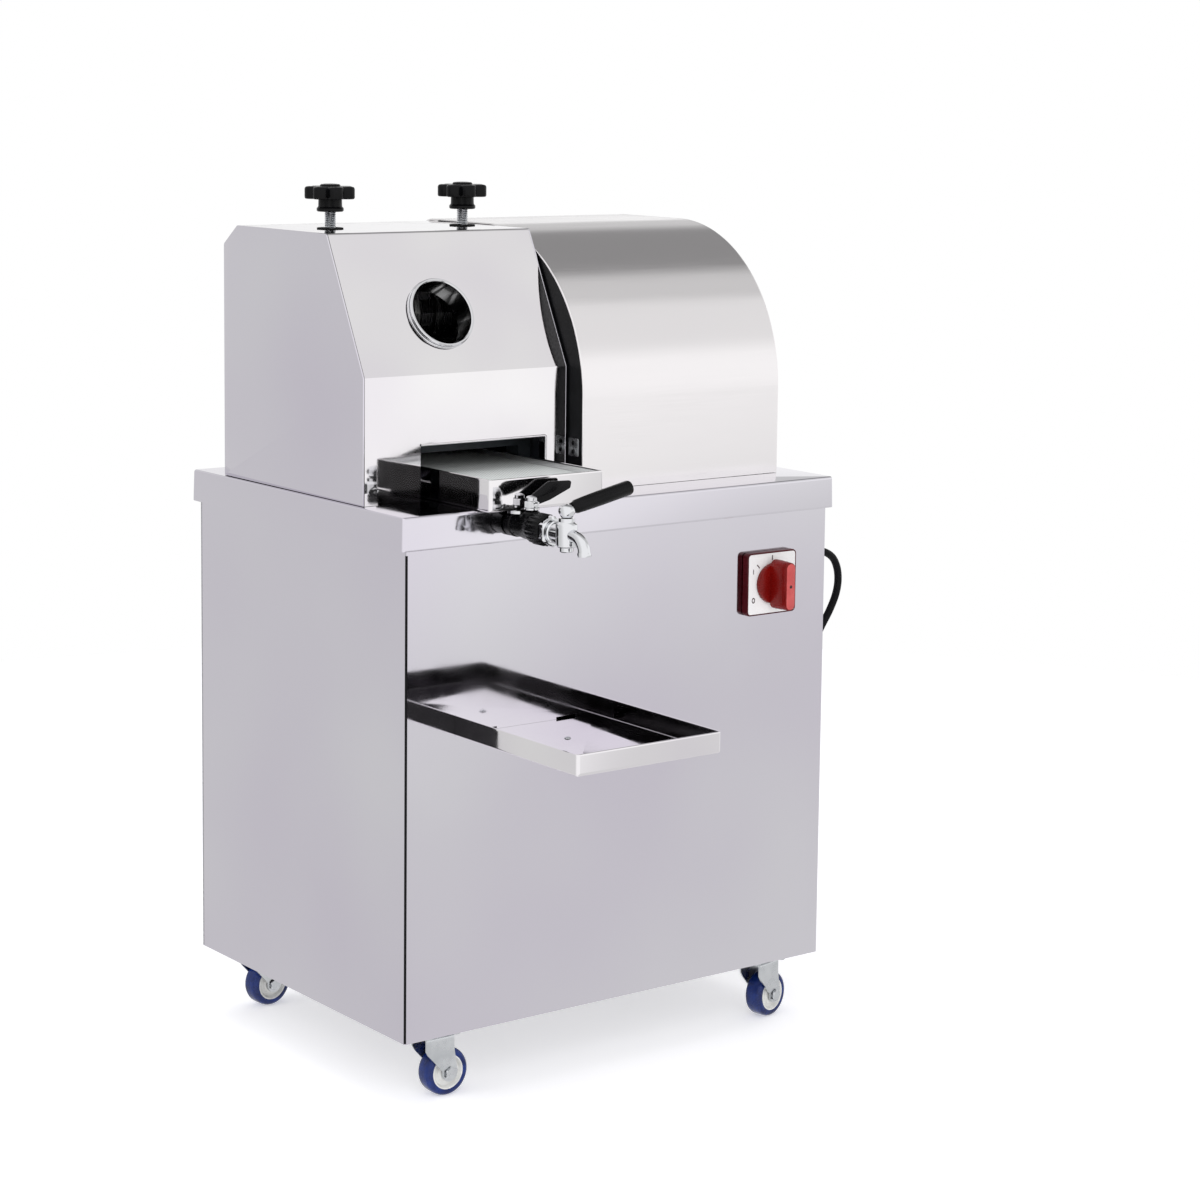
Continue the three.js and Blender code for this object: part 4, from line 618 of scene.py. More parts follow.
# Zinc plate on steel: bright, slightly blue, with the dull clouds of its passivation
zinc, tree, skin = material("bright zinc plate", "zinc_plate", "#CDD1D6", 0.26, 1.0)
grain = speckle(tree, 16.0, detail=3.0)
worn(tree, skin, grain, "Roughness", 0.2, 0.36)
worn(tree, skin, grain, "Base Color", "#CDD0D4", "#DEE0E3")


def folded_down(low, high, wall, fold, spring):
    """A pan's section as [inset, height]: from the top's edge round the fold, down outside, round
    the free edge, which springs out a little, and back up inside to the underside of the top."""
    return np.vstack(
        (
            arc(fold, high - fold, fold, 90, 180),
            [(-spring * 0.02, high - fold - 0.6)],
            [(-spring, low + wall)],
            arc(wall / 2 - spring, low + wall / 2, wall / 2, 180, 360, 4),
            arc(fold, high - fold, fold - wall, 180, 90, 3),
        )
    )


def pan(x0, x1, y0, y1, corner, section):
    """Rounded rectangles up a section: each row is the outline moved in by its inset."""
    rows = []
    for inset, height in section:
        ring = box_outline(x0, x1, y0, y1, corner, inset)
        rows.append(placed(ring[:, 0], ring[:, 1], np.full(len(ring), height)))
    return np.stack(rows)


def block(x0, x1, y0, y1, z0, z1):
    """A plain box from distances across, back and up, for cutting."""
    ring = np.array([(x0, y0), (x1, y0), (x1, y1), (x0, y1)], float)
    return np.stack([placed(ring[:, 0], ring[:, 1], np.full(4, height)) for height in (z0, z1)])


cap_section = folded_down(CAP_TOP - CAP_SKIRT, CAP_TOP, SHEET, CAP_FOLD, 0.9)
piece(
    "top_cap_folded",
    [pan(0, CAP_WIDTH, 0, CAP_DEPTH, CAP_CORNER, cap_section)],
    polished,
    "cabinet",
    ["top_cap"],
    [block(*BELT_SLOT, CAP_TOP - 5, CAP_TOP + 5)],
)

louvres = []
share = np.linspace(-1, 1, 17)
swell = np.sqrt(np.clip(1 - np.abs(share) ** 5, 0, 1))
bend = np.linspace(0, np.pi / 2, 7)
for middle in (CAP_WIDTH * 0.3, CAP_WIDTH * 0.7):
    for i in range(6):
        foot = LOUVRE_FOOT + i * LOUVRE_GAP
        rows = []
        for along, full in zip(share, swell):
            reach, rise = 0.25 + LOUVRE_PROUD * full, 0.6 + (LOUVRE_HEIGHT + 1.4) * full
            out = np.concatenate((reach * np.cos(bend), (reach - 0.7 * full) * np.cos(bend[::-1])))
            up = np.concatenate((rise * np.sin(bend), (rise - 0.7 * full) * np.sin(bend[::-1])))
            across = np.full(len(out), middle + along * (LOUVRE_LENGTH / 2 + 2))
            rows.append(placed(across, PANEL_REAR - 0.2 + out, foot - 0.4 + up))
        louvres.append(np.stack(rows))
piece("back_louvres", louvres, brushed, "cabinet")


def pan_screw(across, back, up, axis, radius=3.6):
    """A pan-head screw: a low dome with a round socket in its middle."""
    height = radius * 0.6
    profile = [(0.01, height * 0.35), (radius * 0.42, height * 0.35)]
    profile += [(radius * 0.46, height * 0.96), (radius * 0.7, height * 0.86)]
    profile += [(radius * 0.93, height * 0.45), (radius, 0), (0.01, 0)]
    return lathe(profile, placed(across, back, up), axis, 24)


screws = [
    pan_screw(across, PANEL_REAR, up, (0, 1, 0))
    for across in (16, CAP_WIDTH / 2, CAP_WIDTH - 16)
    for up in (84, 330, 560)
    if not (across == CAP_WIDTH / 2 and up == 330)
]
piece("panel_screws", screws, zinc, "cabinet")

# A dark bead along the joint of the left and front panels: painted shadow of the gap between them
joint = tube([placed(7.2, 4.2, up) for up in (74.0, 320.0, 566.0)], 1.3, 12)
piece("panel_joint_painted_shadow", [joint], cord_pvc, "cabinet")

for name, finish in {
    "left_panel": polished,
    "right_panel": polished,
    "front_panel": polished,
    "back_panel": brushed,
    "base_plate": brushed,
    "motor_shelf": brushed,
    "cabinet_frame": black_paint,
}.items():
    nodes[name].material_slots[0].material = finish


# Cup tray. One sheet of mirror-finished stainless folded up into a shallow tray, open at the panel;
# its corners are welded and ground round, and its floor ends in two tongues hooked into slots.
TRAY_LEFT, TRAY_RIGHT, TRAY_FRONT, TRAY_REAR = 65.0, 241.0, -200.0, 3.7
TRAY_RIM, TRAY_HEIGHT, TRAY_CORNER, TRAY_FOLD = 400.5, 22.0, 4.0, 3.0
TRAY_FOOT = TRAY_RIM - TRAY_HEIGHT
HOOK_ACROSS, HOOK_WIDTH, HOOK_DROP = (103.72, 202.28), 24.0, 12.0


def folded_up(low, high, wall, fold):
    """A tray's section as [inset, height]: from the underside round the fold, up outside, over the
    free edge and down inside to the floor. A row beside each bend keeps the wall's shading flat."""
    return np.vstack(
        (
            arc(fold, low + fold, fold, 270, 180),
            [(0, low + fold + 0.5), (0, high - wall)],
            arc(wall / 2, high - wall / 2, wall / 2, 180, 0, 5),
            [(wall, high - wall), (wall, low + fold + 0.5)],
            arc(fold, low + fold, fold - wall, 180, 270, 3),
        )
    )


def strap(path, width, thick):
    """A flat bar along a path in a (back, up) plane, a rounded rectangle square to the path."""
    path = np.asarray(path, float)
    along = np.gradient(path, axis=0)
    along /= np.linalg.norm(along, axis=1)[:, None]
    over = np.cross(along, (1.0, 0.0, 0.0))
    ring = box_outline(-width / 2, width / 2, -thick / 2, thick / 2, 0.3 * min(width, thick))
    wide = ring[None, :, 0, None] * np.array([1.0, 0.0, 0.0])
    return path[:, None, :] + wide + ring[None, :, 1, None] * over[:, None, :]


tray_section = folded_up(TRAY_FOOT, TRAY_RIM, SHEET, TRAY_FOLD)
sawn_off = block(
    TRAY_LEFT - 2, TRAY_RIGHT + 2, TRAY_REAR, TRAY_REAR + 15, TRAY_FOOT - 2, TRAY_RIM + 2
)
piece(
    "cup_tray_folded",
    [pan(TRAY_LEFT, TRAY_RIGHT, TRAY_FRONT, TRAY_REAR + 10, TRAY_CORNER, tray_section)],
    mirror,
    "cabinet",
    ["cup_tray"],
    [sawn_off],
)
tongue = TRAY_FOOT + SHEET / 2
hook = filleted([(TRAY_REAR, tongue), (7.3, tongue), (7.3, tongue - HOOK_DROP - 1)], 1.6)
hooks = [
    strap(placed(np.full(len(hook), across), hook[:, 0], hook[:, 1]), HOOK_WIDTH, SHEET)
    for across in HOOK_ACROSS
]
piece("cup_tray_tongues", hooks, mirror, "cabinet")
stud_profile = [(0.01, -0.5), (3.4, -0.5), (3.4, 0.2), (2.6, 1.0), (1.2, 1.4), (0.01, 1.5)]
stud = lathe(stud_profile, placed(150.0, -70.0, TRAY_FOOT + SHEET), (0, 0, 1), 24)
piece("tray_floor_stud", [stud], zinc, "cabinet")


# Rotary switch. A cam switch with a square housing of red ABS, a white face plate with plain ticks
# and numbers, and a round knob with a grip bar across it.
SWITCH_ACROSS, SWITCH_UP, SWITCH_FACE, SWITCH_PROUD = 468.0, 496.5, 3.7, 8.7
PLATE_SIZE, CONTACTS, DISC, DISC_DEPTH = 68.0, 42.0, 44.0, 6.0
BAR_LENGTH, BAR_WIDTH, BAR_PROUD = 53.0, 15.0, 31.0

# Red ABS: moulded with a light gloss, a little deeper where it is thick
red_abs, tree, skin = material(
    "moulded red ABS", "red_plastic", "#4A0812", 0.3, Specular_IOR_Level=0.25
)
grain = speckle(tree, 1.2)
worn(tree, skin, grain, "Roughness", 0.24, 0.36)
worn(tree, skin, speckle(tree, 26, detail=3.0), "Base Color", "#420710", "#540A15")
relief(tree, skin, grain, 0.02)

# The knob's own moulding: a purer deep red, for the disc and the grip's sides
knob_abs, tree, skin = material(
    "moulded deep red ABS", "red_plastic", "#760C09", 0.25, Specular_IOR_Level=0.25
)
grain = speckle(tree, 1.2)
worn(tree, skin, grain, "Roughness", 0.2, 0.32)
worn(tree, skin, speckle(tree, 20, detail=3.0), "Base Color", "#6C0A07", "#800F0B")
relief(tree, skin, grain, 0.02)

# The grip's front face: the same plastic painted coral, a painted highlight for the face that the
# light falls on, rubbed a little dull by fingers
lit_face_abs, tree, skin = material("coral ABS painted as the grip's lit face", "red_plastic", "#C94F4E", 0.32)
grain = speckle(tree, 1.2)
worn(tree, skin, grain, "Roughness", 0.26, 0.4)
worn(tree, skin, speckle(tree, 14, detail=3.0), "Base Color", "#C14847", "#D25A58")

# White ABS: a matt face plate for print
white_abs, tree, skin = material("moulded white ABS", "red_plastic", "#F1EFEE", 0.45)
grain = speckle(tree, 1.0)
worn(tree, skin, grain, "Roughness", 0.4, 0.52)
worn(tree, skin, grain, "Base Color", "#ECEAE9", "#F5F4F3")

# Print on the plate: a thin matt ink
ink, tree, skin = material("dark printing ink", "black_plastic", "#3A1B20", 0.6)
worn(tree, skin, speckle(tree, 0.8), "Roughness", 0.5, 0.7)


def facing(outline, proud):
    """An outline of (across, up) from the switch's middle, at a distance ahead of the panel."""
    back = np.full(len(outline), SWITCH_FACE - proud)
    return placed(SWITCH_ACROSS + outline[:, 0], back, SWITCH_UP + outline[:, 1])


def stacked(outline, rows, place):
    """A closed outline, moved in by each row's inset and put at its height by place."""
    after = np.roll(outline, -1, 0) - outline
    after /= np.linalg.norm(after, axis=1)[:, None]
    before = np.roll(after, 1, 0)
    normal = np.column_stack((-(after + before)[:, 1], (after + before)[:, 0]))
    normal /= (1 + (after * before).sum(1))[:, None]
    return np.stack([place(outline + inset * normal, height) for inset, height in rows])


half = PLATE_SIZE / 2
plate = box_outline(-half, half, -half, half, 5, 0)
inner = CONTACTS / 2
contacts = box_outline(-inner, inner, -inner, inner, 2, 0)
housing_rows = [(1.0, 0), (0, 0.6), (0, SWITCH_PROUD - 1.2), (0.3, SWITCH_PROUD - 0.3)]
housing_rows += [(0.8, SWITCH_PROUD), (1.5, SWITCH_PROUD), (1.6, SWITCH_PROUD - 0.5)]
piece(
    "switch_housing_moulded",
    [
        stacked(plate, housing_rows, facing),
        stacked(contacts, [(0.5, -CONTACTS), (0, -CONTACTS + 0.5), (0, 0.3)], facing),
    ],
    red_abs,
    "cabinet",
    ["switch_housing"],
)
face_rows = [(1.7, SWITCH_PROUD - 0.6), (1.7, SWITCH_PROUD - 0.1), (2.1, SWITCH_PROUD + 0.1)]
piece("switch_face_plate", [stacked(plate, face_rows, facing)], white_abs, "cabinet")


def mark(points, width):
    """A printed stroke: the line's two sides, half a width apart from it, as a closed outline."""
    points = np.asarray(points, float)
    along = np.gradient(points, axis=0)
    along /= np.linalg.norm(along, axis=1)[:, None]
    beside = np.column_stack((-along[:, 1], along[:, 0])) * width / 2
    outline = np.vstack((points - beside, (points + beside)[::-1]))
    return np.stack([facing(outline, SWITCH_PROUD + height) for height in (0.05, 0.22)])


marks = []
for angle in (-45, 0, 45):
    out = np.array([math.sin(math.radians(angle)), math.cos(math.radians(angle))])
    marks.append(mark([out * 24.8, out * 30.0], 1.2))
one = np.array([(0.0, -2.6), (0.0, 2.6)])
two = np.vstack((arc(0, 1.1, 1.5, 160, -20, 8), [(-1.6, -2.5), (1.7, -2.5)]))
for digit, middle in ((one, (-26.0, 14.0)), (two, (26.0, 14.0))):
    marks.append(mark(digit + middle, 0.9))
zero_out, zero_in = (
    arc(0, 0, radius, 0, 360, 20)[:-1] * (1, 1.4) + (-25.5, -17.0) for radius in (2.2, 1.3)
)
ring_rows = [(zero_in, 0.05), (zero_in, 0.22), (zero_out, 0.22), (zero_out, 0.05), (zero_in, 0.05)]
marks.append(np.stack([facing(ring, SWITCH_PROUD + height) for ring, height in ring_rows]))
piece("switch_marks", marks, ink, "cabinet")

knob_at = placed(SWITCH_ACROSS, SWITCH_FACE - SWITCH_PROUD - 0.3, SWITCH_UP)
disc = [(0.01, 0), (DISC / 2 - 0.6, 0), (DISC / 2, 0.6), (DISC / 2, DISC_DEPTH - 1.4)]
disc += [(DISC / 2 - 0.5, DISC_DEPTH - 0.5), (DISC / 2 - 1.8, DISC_DEPTH), (0.01, DISC_DEPTH)]
scalloped = lambda radius, around: radius - 0.35 * (1 - np.cos(36 * around)) / 2 * (radius > 21.5)
piece(
    "switch_knob_disc",
    [
        lathe(disc, knob_at, (0, -1, 0), 144, scalloped),
        lathe([(0.01, -9.5), (4.2, -9.5), (4.2, 0.5), (0.01, 0.5)], knob_at, (0, -1, 0), 24),
    ],
    knob_abs,
    "switch_knob",
    ["switch_knob"],
)
half, half_long = BAR_WIDTH / 2, BAR_LENGTH / 2
bar = box_outline(-half, half, -half_long, half_long, half - 0.5)
bar_rows = [(0, DISC_DEPTH - 0.4), (0.1, 12), (0.5, 24), (0.9, BAR_PROUD - 1.2)]
bar_rows += [(1.3, BAR_PROUD - 0.5), (2.0, BAR_PROUD - 0.3)]
# The coral layer on the grip's front is painted light: a lighter copy of the knob's red for its lit
# face
lit_face_rows = [(1.9, BAR_PROUD - 0.8), (1.9, BAR_PROUD - 0.2), (2.4, BAR_PROUD)]
knob_facing = lambda outline, proud: facing(outline, SWITCH_PROUD + 0.3 + proud)
piece("switch_knob_bar", [stacked(bar, bar_rows, knob_facing)], knob_abs, "switch_knob")
piece("switch_knob_lit_face", [stacked(bar, lit_face_rows, knob_facing)], lit_face_abs, "switch_knob")
dot = [(0.01, 0.3), (1.5, 0.3), (1.7, 0.1), (1.7, -1.0), (0.01, -1.0)]
dot_at = knob_at - (0, BAR_PROUD, 0)
piece("switch_knob_screw", [lathe(dot, dot_at, (0, -1, 0), 24)], ink, "switch_knob")


# Castors. Four swivelling castors of a common pattern: a zinc-plated top plate with four bolts, a
# pressed fork on a ball race, and a white nylon wheel with a tread of blue polyurethane cast on.
CASTORS = {
    "front_left": (62.0, 36.0, 0),
    "front_right": (495.0, 36.0, 13),
    "rear_left": (62.0, 386.0, 6),
    "rear_right": (495.0, 386.0, 22),
}
TRAIL, WHEEL, TREAD = 12.0, 25.0, 21.0
PLATE_TOP, PLATE_FOOT, RACE_TOP, CROWN_TOP = 72.2, 69.7, 69.4, 66.4
FORK_HALF, FORK_SIDE, FORK_WALL, EYE = 17.0, 14.0, 2.0, 9.0

# Cast polyurethane: clear deep blue with a wet gloss
polyurethane, tree, skin = material(
    "cast blue polyurethane", "blue_polyurethane", "#0C2160", 0.25, Specular_IOR_Level=0.4
)
worn(tree, skin, speckle(tree, 8, detail=4.0), "Roughness", 0.14, 0.34)
worn(tree, skin, speckle(tree, 12, detail=3.0), "Base Color", "#0A1B50", "#12307A")
relief(tree, skin, speckle(tree, 3.0), 0.03)

# White nylon: moulded, slightly translucent and waxy
white_nylon, tree, skin = material("moulded white nylon", "blue_polyurethane", "#E8E8E4", 0.38)
worn(tree, skin, speckle(tree, 6, detail=3.0), "Roughness", 0.3, 0.5)
worn(tree, skin, speckle(tree, 9, detail=3.0), "Base Color", "#DEDEDA", "#F0F0ED")


def fork_shell():
    """The fork as one pressing, in the castor's own frame: a U of sheet whose width along x is 34
    at the crown, tapers down to both legs' feet, shifts back to the axle and ends round it."""
    legs = np.concatenate((np.linspace(WHEEL - EYE + 0.05, WHEEL, 8), np.linspace(28, 58, 6)))
    left = np.column_stack((np.full(len(legs), -FORK_SIDE), legs))
    top_left, top_right = (-FORK_SIDE, CROWN_TOP), (FORK_SIDE, CROWN_TOP)
    crown = filleted([(-FORK_SIDE, 60), top_left, top_right, (FORK_SIDE, 60)], 4)
    line = np.vstack((left, crown, (left * (-1, 1))[::-1]))
    slope = np.gradient(line, axis=0)
    slope /= np.linalg.norm(slope, axis=1)[:, None]
    inner = line + FORK_WALL * np.column_stack((slope[:, 1], -slope[:, 0]))
    height = line[:, 1]
    lean = np.clip((50 - height) / 22, 0, 1)
    middle = TRAIL * lean
    half = FORK_HALF + (EYE - FORK_HALF) * lean
    round_end = np.sqrt(np.clip(EYE**2 - (height - WHEEL) ** 2, 0.01, None))
    half = np.where(height < WHEEL, round_end, half)
    over = np.linspace(-1, 1, 7)
    outside = np.stack([np.column_stack((middle + half * s, line)) for s in over], 1)
    inside = np.stack([np.column_stack((middle + half * s, inner)) for s in over[::-1]], 1)
    return np.concatenate((outside, inside), 1)


side = TREAD / 2
tread = [(18.0, -side + 0.6), (20.5, -side + 0.1), (22.4, -side + 0.6), (23.9, -side + 1.9)]
tread += [(24.8, -side + 4.0), (WHEEL, -side + 6.5)]
tread += [(reach, -along) for reach, along in tread[::-1]] + [tread[0]]
core = [(4.4, -9.4), (8.6, -9.4), (9.4, -8.8), (10.4, -7.2), (14.6, -6.6), (16.0, -8.4)]
core += [(16.8, -9.9), (18.1, -9.9)]
core += [(reach, -along) for reach, along in core[::-1]] + [core[0]]
bush = [(4.08, -9.9), (4.6, -9.9), (4.6, 9.9), (4.08, 9.9), (4.08, -9.9)]
race = [(4.8, CROWN_TOP - 1.9), (13.0, CROWN_TOP - 0.3), (14.6, CROWN_TOP + 0.6)]
race += [(14.6, CROWN_TOP + 1.4), (13.4, CROWN_TOP + 1.9), (13.8, RACE_TOP - 0.3)]
race += [(13.0, RACE_TOP), (4.8, RACE_TOP), race[0]]
kingpin = [(0.01, 60.4), (6.2, 60.6), (7, 61.4), (7, 63), (6.4, 64), (4, 64.2), (4, 69.8)]
kingpin += [(0.01, 69.8)]
pin = [(0.01, -15.5), (4, -15.5), (4, 15.5), (0.01, 15.5)]
plate_rows = [(0.5, PLATE_FOOT), (0, PLATE_FOOT + 0.5), (0, PLATE_TOP - 0.5), (0.5, PLATE_TOP)]
for name, (across, back, degrees) in CASTORS.items():
    spin = math.radians(degrees)
    turned = np.array(
        [(math.cos(spin), math.sin(spin), 0), (-math.sin(spin), math.cos(spin), 0), (0, 0, 1)]
    )
    stand = placed(across, back, 0)
    put = lambda grid: grid @ turned + stand
    axle = (TRAIL, 0.0, WHEEL)
    top = [pan(across - 23, across + 23, back - 23, back + 23, 5, plate_rows)]
    top.append(lathe(kingpin, stand, (0, 0, 1), 24))
    for dx in (-17, 17):
        for dy in (-17, 17):
            top.append(hexagon(8.0, 2.9, stand + (dx, dy, PLATE_FOOT - 2.9), (0, 0, 1)))
    piece(f"castor_plate_{name}_plated", top, zinc, "cabinet", [f"castor_plate_{name}"])
    fork = [put(fork_shell()), put(lathe(race, (0, 0, 0), (0, 0, 1), 36))]
    fork.append(put(lathe(pin, axle, (0, 1, 0), 24)))
    fork.append(put(hexagon(12.0, 2.6, np.array(axle) + (0, 14.1, 0), (0, 1, 0))))
    fork.append(put(hexagon(12.0, 2.6, np.array(axle) - (0, 16.7, 0), (0, 1, 0))))
    piece(f"castor_fork_{name}_pressed", fork, zinc, f"castor_fork_{name}", [f"castor_fork_{name}"])
    wheel_body = f"castor_wheel_{name}"
    rolling = [put(lathe(tread, axle, (0, 1, 0), 64))]
    piece(f"castor_tread_{name}", rolling, polyurethane, wheel_body, [wheel_body])
    piece(f"castor_core_{name}", [put(lathe(core, axle, (0, 1, 0), 48))], white_nylon, wheel_body)
    piece(f"castor_bush_{name}", [put(lathe(bush, axle, (0, 1, 0), 24))], zinc, wheel_body)


# Mill head. A folded shell of mirror-finished stainless stands between two flat side plates: sloped
# at the front for the feed pipe, open at the foot for the drawer and at the back for pressed cane.
HEAD_LEFT, HEAD_RIGHT, HEAD_FRONT, HEAD_BACK, HEAD_HEIGHT = 6.0, 257.0, 82.0, 358.0, 268.5
SLOPE_FOOT, SLOPE_RUN, CHAMFER, CHAMFER_DROP = 128.5, 70.0, 28.0, 20.5
MOUTH_LEFT, MOUTH_RIGHT, MOUTH_HEIGHT = 74.5, 229.5, 57.0
OUTLET_LEFT, OUTLET_RIGHT, OUTLET_FOOT, OUTLET_TOP = 60.0, 220.0, 46.0, 138.0
FEED_ACROSS, FEED_UP, FEED_PROUD, FEED_INSIDE = 116.5, 0.413, 6.0, 22.0
FEED_TUBE, FEED_BORE = 36.5, 34.2
SCREW_LINE, SCREW_BACK = (58.0, 223.0), 228.0
DRIVEN_BACK, DRIVEN_UP, SHAFT_HOLE = 272.0, 118.03, 16.5

head_line = [
    (HEAD_FRONT, 0.3),
    (HEAD_FRONT, SLOPE_FOOT),
    (HEAD_FRONT + SLOPE_RUN, HEAD_HEIGHT),
    (HEAD_BACK - CHAMFER, HEAD_HEIGHT),
    (HEAD_BACK, HEAD_HEIGHT - CHAMFER_DROP),
    (HEAD_BACK, 0.3),
]


def beside(line, distance):
    """An open line in the (back, up) plane moved to its right, square to itself."""
    along = np.gradient(line, axis=0)
    along /= np.linalg.norm(along, axis=1)[:, None]
    return line + distance * np.column_stack((along[:, 1], -along[:, 0]))


def folded_sheet(line, wall, across):
    """A sheet bent along a line and extruded: the line and its inner side as one closed row, at
    each distance across."""
    loop = np.vstack((line, beside(line, wall)[::-1]))
    place = lambda v: placed(np.full(len(loop), v), loop[:, 0], CAP_TOP + loop[:, 1])
    return np.stack([place(v) for v in across])


def side_plate(outline, across, thick, edge=0.6):
    """A flat plate in the (back, up) plane whose two rims are eased by a small radius."""
    place = lambda ring, v: placed(np.full(len(ring), v), ring[:, 0], CAP_TOP + ring[:, 1])
    rows = [(edge, across), (edge * 0.3, across + edge * 0.3), (0, across + edge)]
    across += thick
    rows += [(0, across - edge), (edge * 0.3, across - edge * 0.3), (edge, across)]
    return stacked(outline, rows, place)


shell_line = filleted(head_line, 4.0, steps=6)
plate_outline = filleted(head_line, (0.8, 3.6, 3.6, 3.6, 3.6, 0.8), True)[::-1]
slope = np.array([SLOPE_RUN, HEAD_HEIGHT - SLOPE_FOOT])
slope_out = np.array([-slope[1], slope[0]]) / np.linalg.norm(slope)
feed_axis = np.array([0.0, slope_out[0], slope_out[1]])
feed_back, feed_height = np.array([HEAD_FRONT, SLOPE_FOOT]) + slope * FEED_UP
feed_at = placed(FEED_ACROSS, feed_back, CAP_TOP + feed_height)
round_hole = lambda radius, low, high: [(radius, low), (radius, high)]
mouth_edge = CAP_TOP + MOUTH_HEIGHT
outlet_edges = (CAP_TOP + OUTLET_FOOT, CAP_TOP + OUTLET_TOP)
holes = [
    block(MOUTH_LEFT, MOUTH_RIGHT, HEAD_FRONT - 3, HEAD_FRONT + 4, CAP_TOP - 3, mouth_edge),
    block(OUTLET_LEFT, OUTLET_RIGHT, HEAD_BACK - 5, HEAD_BACK + 5, *outlet_edges),
    lathe(round_hole(FEED_TUBE + 0.3, -12, 12), feed_at, feed_axis, 64),
]
for across in SCREW_LINE:
    at = placed(across, SCREW_BACK, CAP_TOP + HEAD_HEIGHT)
    holes.append(lathe(round_hole(6.8, -8, 8), at, (0, 0, 1), 32))
piece(
    "head_shell_folded",
    [folded_sheet(shell_line, SHEET, (HEAD_LEFT + 2.1, HEAD_RIGHT - 2.1))],
    mirror,
    "cabinet",
    ["head_shell"],
    holes,
    28,
)
left_side = [side_plate(plate_outline, HEAD_LEFT, SHEET)]
piece("head_left_side_cut", left_side, polished, "cabinet", ["head_left_side"])
driven = placed(HEAD_RIGHT, DRIVEN_BACK, CAP_TOP + DRIVEN_UP)
shaft_hole = lathe(round_hole(SHAFT_HOLE, -8, 8), driven, (1, 0, 0), 48)
right_side = [side_plate(plate_outline, HEAD_RIGHT - SHEET, SHEET)]
piece("head_right_side_cut", right_side, polished, "cabinet", ["head_right_side"], [shaft_hole])

lip = filleted(
    [
        placed(MOUTH_LEFT, HEAD_FRONT - 0.2, mouth_edge + 0.6),
        placed(MOUTH_RIGHT + 0.4, HEAD_FRONT - 0.2, mouth_edge + 0.6),
        placed(MOUTH_RIGHT + 0.4, HEAD_FRONT - 0.2, CAP_TOP + 1.6),
    ],
    2.0,
)
piece("head_mouth_hem", [tube(lip, 1.2, 12)], mirror, "cabinet")

# Stainless tube and its weld: turned bright at the lip, with a cast ring of weld at its foot
bright, tree, skin = material("polished stainless tube", "chrome", "#E3E3E6", 0.09, 1.0)
worn(tree, skin, speckle(tree, 18, detail=3.0), "Roughness", 0.06, 0.17)

pipe = [(FEED_BORE, -FEED_INSIDE), (FEED_TUBE, -FEED_INSIDE), (FEED_TUBE, FEED_PROUD - 2.2)]
pipe += [(FEED_TUBE + 0.8, FEED_PROUD - 1.6), (FEED_TUBE + 0.8, FEED_PROUD - 0.7)]
pipe += [(FEED_TUBE + 0.2, FEED_PROUD), (FEED_BORE + 0.8, FEED_PROUD)]
pipe += [(FEED_BORE, FEED_PROUD - 0.9), pipe[0]]
bead = arc(FEED_TUBE + 0.5, 0.5, 1.1, 0, 360, 12)
feed_pipe = [lathe(rows, feed_at, feed_axis, 96) for rows in (pipe, bead)]
piece("feed_pipe", feed_pipe, bright, "cabinet", ["feed_collar"])

# Hood over the outlet for pressed cane: a bent roof between two cheeks, riveted to the back
HOOD = (52.0, 228.0)
HOOD_TOP, HOOD_REACH, HOOD_BACK = 146.0, 38.0, 358.3
roof_line = filleted(
    [
        (HOOD_BACK, HOOD_TOP),
        (HOOD_BACK + 14, HOOD_TOP),
        (HOOD_BACK + HOOD_REACH, OUTLET_FOOT + 18),
        (HOOD_BACK + HOOD_REACH, OUTLET_FOOT),
    ],
    5.0,
)
cheek_outline = np.vstack((roof_line, [(HOOD_BACK, OUTLET_FOOT)]))[::-1]
hood = [folded_sheet(roof_line, SHEET, (HOOD[0] + 2.05, HOOD[1] - 2.05))]
hood += [side_plate(cheek_outline, v, SHEET, 0.4) for v in (HOOD[0], HOOD[1] - SHEET)]
piece("bagasse_hood_folded", hood, polished, "cabinet", ["bagasse_hood"])
rivets = [
    pan_screw(across, HEAD_BACK, CAP_TOP + up, (0, 1, 0), 3.0)
    for across in (44, 236)
    for up in (60, 100, 138)
]
piece("head_back_rivets", rivets, zinc, "cabinet")


# Mill. Three grooved rollers of ground steel run in cast plates on a cast bed, geared together at
# their right ends; the top one's bearing blocks slide in the plates under the pressure screws.
# Painted grey cast iron: sand-cast, so its skin is pebbled under the enamel
cast_iron, tree, skin = material("painted cast iron", "cast_iron", "#3B4145", 0.55)
grain = speckle(tree, 1.8, detail=4.0)
worn(tree, skin, grain, "Roughness", 0.45, 0.68)
worn(tree, skin, speckle(tree, 22, detail=4.0), "Base Color", "#33393D", "#454B50")
relief(tree, skin, grain, 0.25)

# Turned and ground steel: fine rings round each shaft, drawn 1 mm apart so that they show
ground, tree, skin = material("ground steel", "machined_steel", "#A9A9A8", 0.3, 1.0)
grain = speckle(tree, 1.0, (1, 30, 30), 3.0)
worn(tree, skin, grain, "Roughness", 0.2, 0.42)
worn(tree, skin, speckle(tree, 14, detail=4.0), "Base Color", "#9A9A98", "#B7B7B6")

for name in ("mill_bed", "mill_plate_left", "mill_plate_right", "bull_gear", "drive_stand"):
    nodes[name].material_slots[0].material = cast_iron
for name in ("bearing_block_left", "bearing_block_right", "countershaft"):
    nodes[name].material_slots[0].material = ground
for name in ("top_roller", "front_roller", "rear_roller"):
    nodes[name].material_slots[0].material = ground
    nodes[name + "_gear"].material_slots[0].material = ground


# Pressure screws. Each is a threaded M12 stud of zinc-plated steel that goes down to its bearing
# block, with a moulded star knob of seven lobes on a round hub; a rubber ring seals the roof.
STUD, PITCH, STUD_FOOT, KNOB_FOOT = 6.0, 1.75, 802.8, 891.0
HUB_HEIGHT, STAR_HEIGHT, STAR_REACH, LOBE, LOBES = 13.0, 13.0, 26.5, 7.2, 7

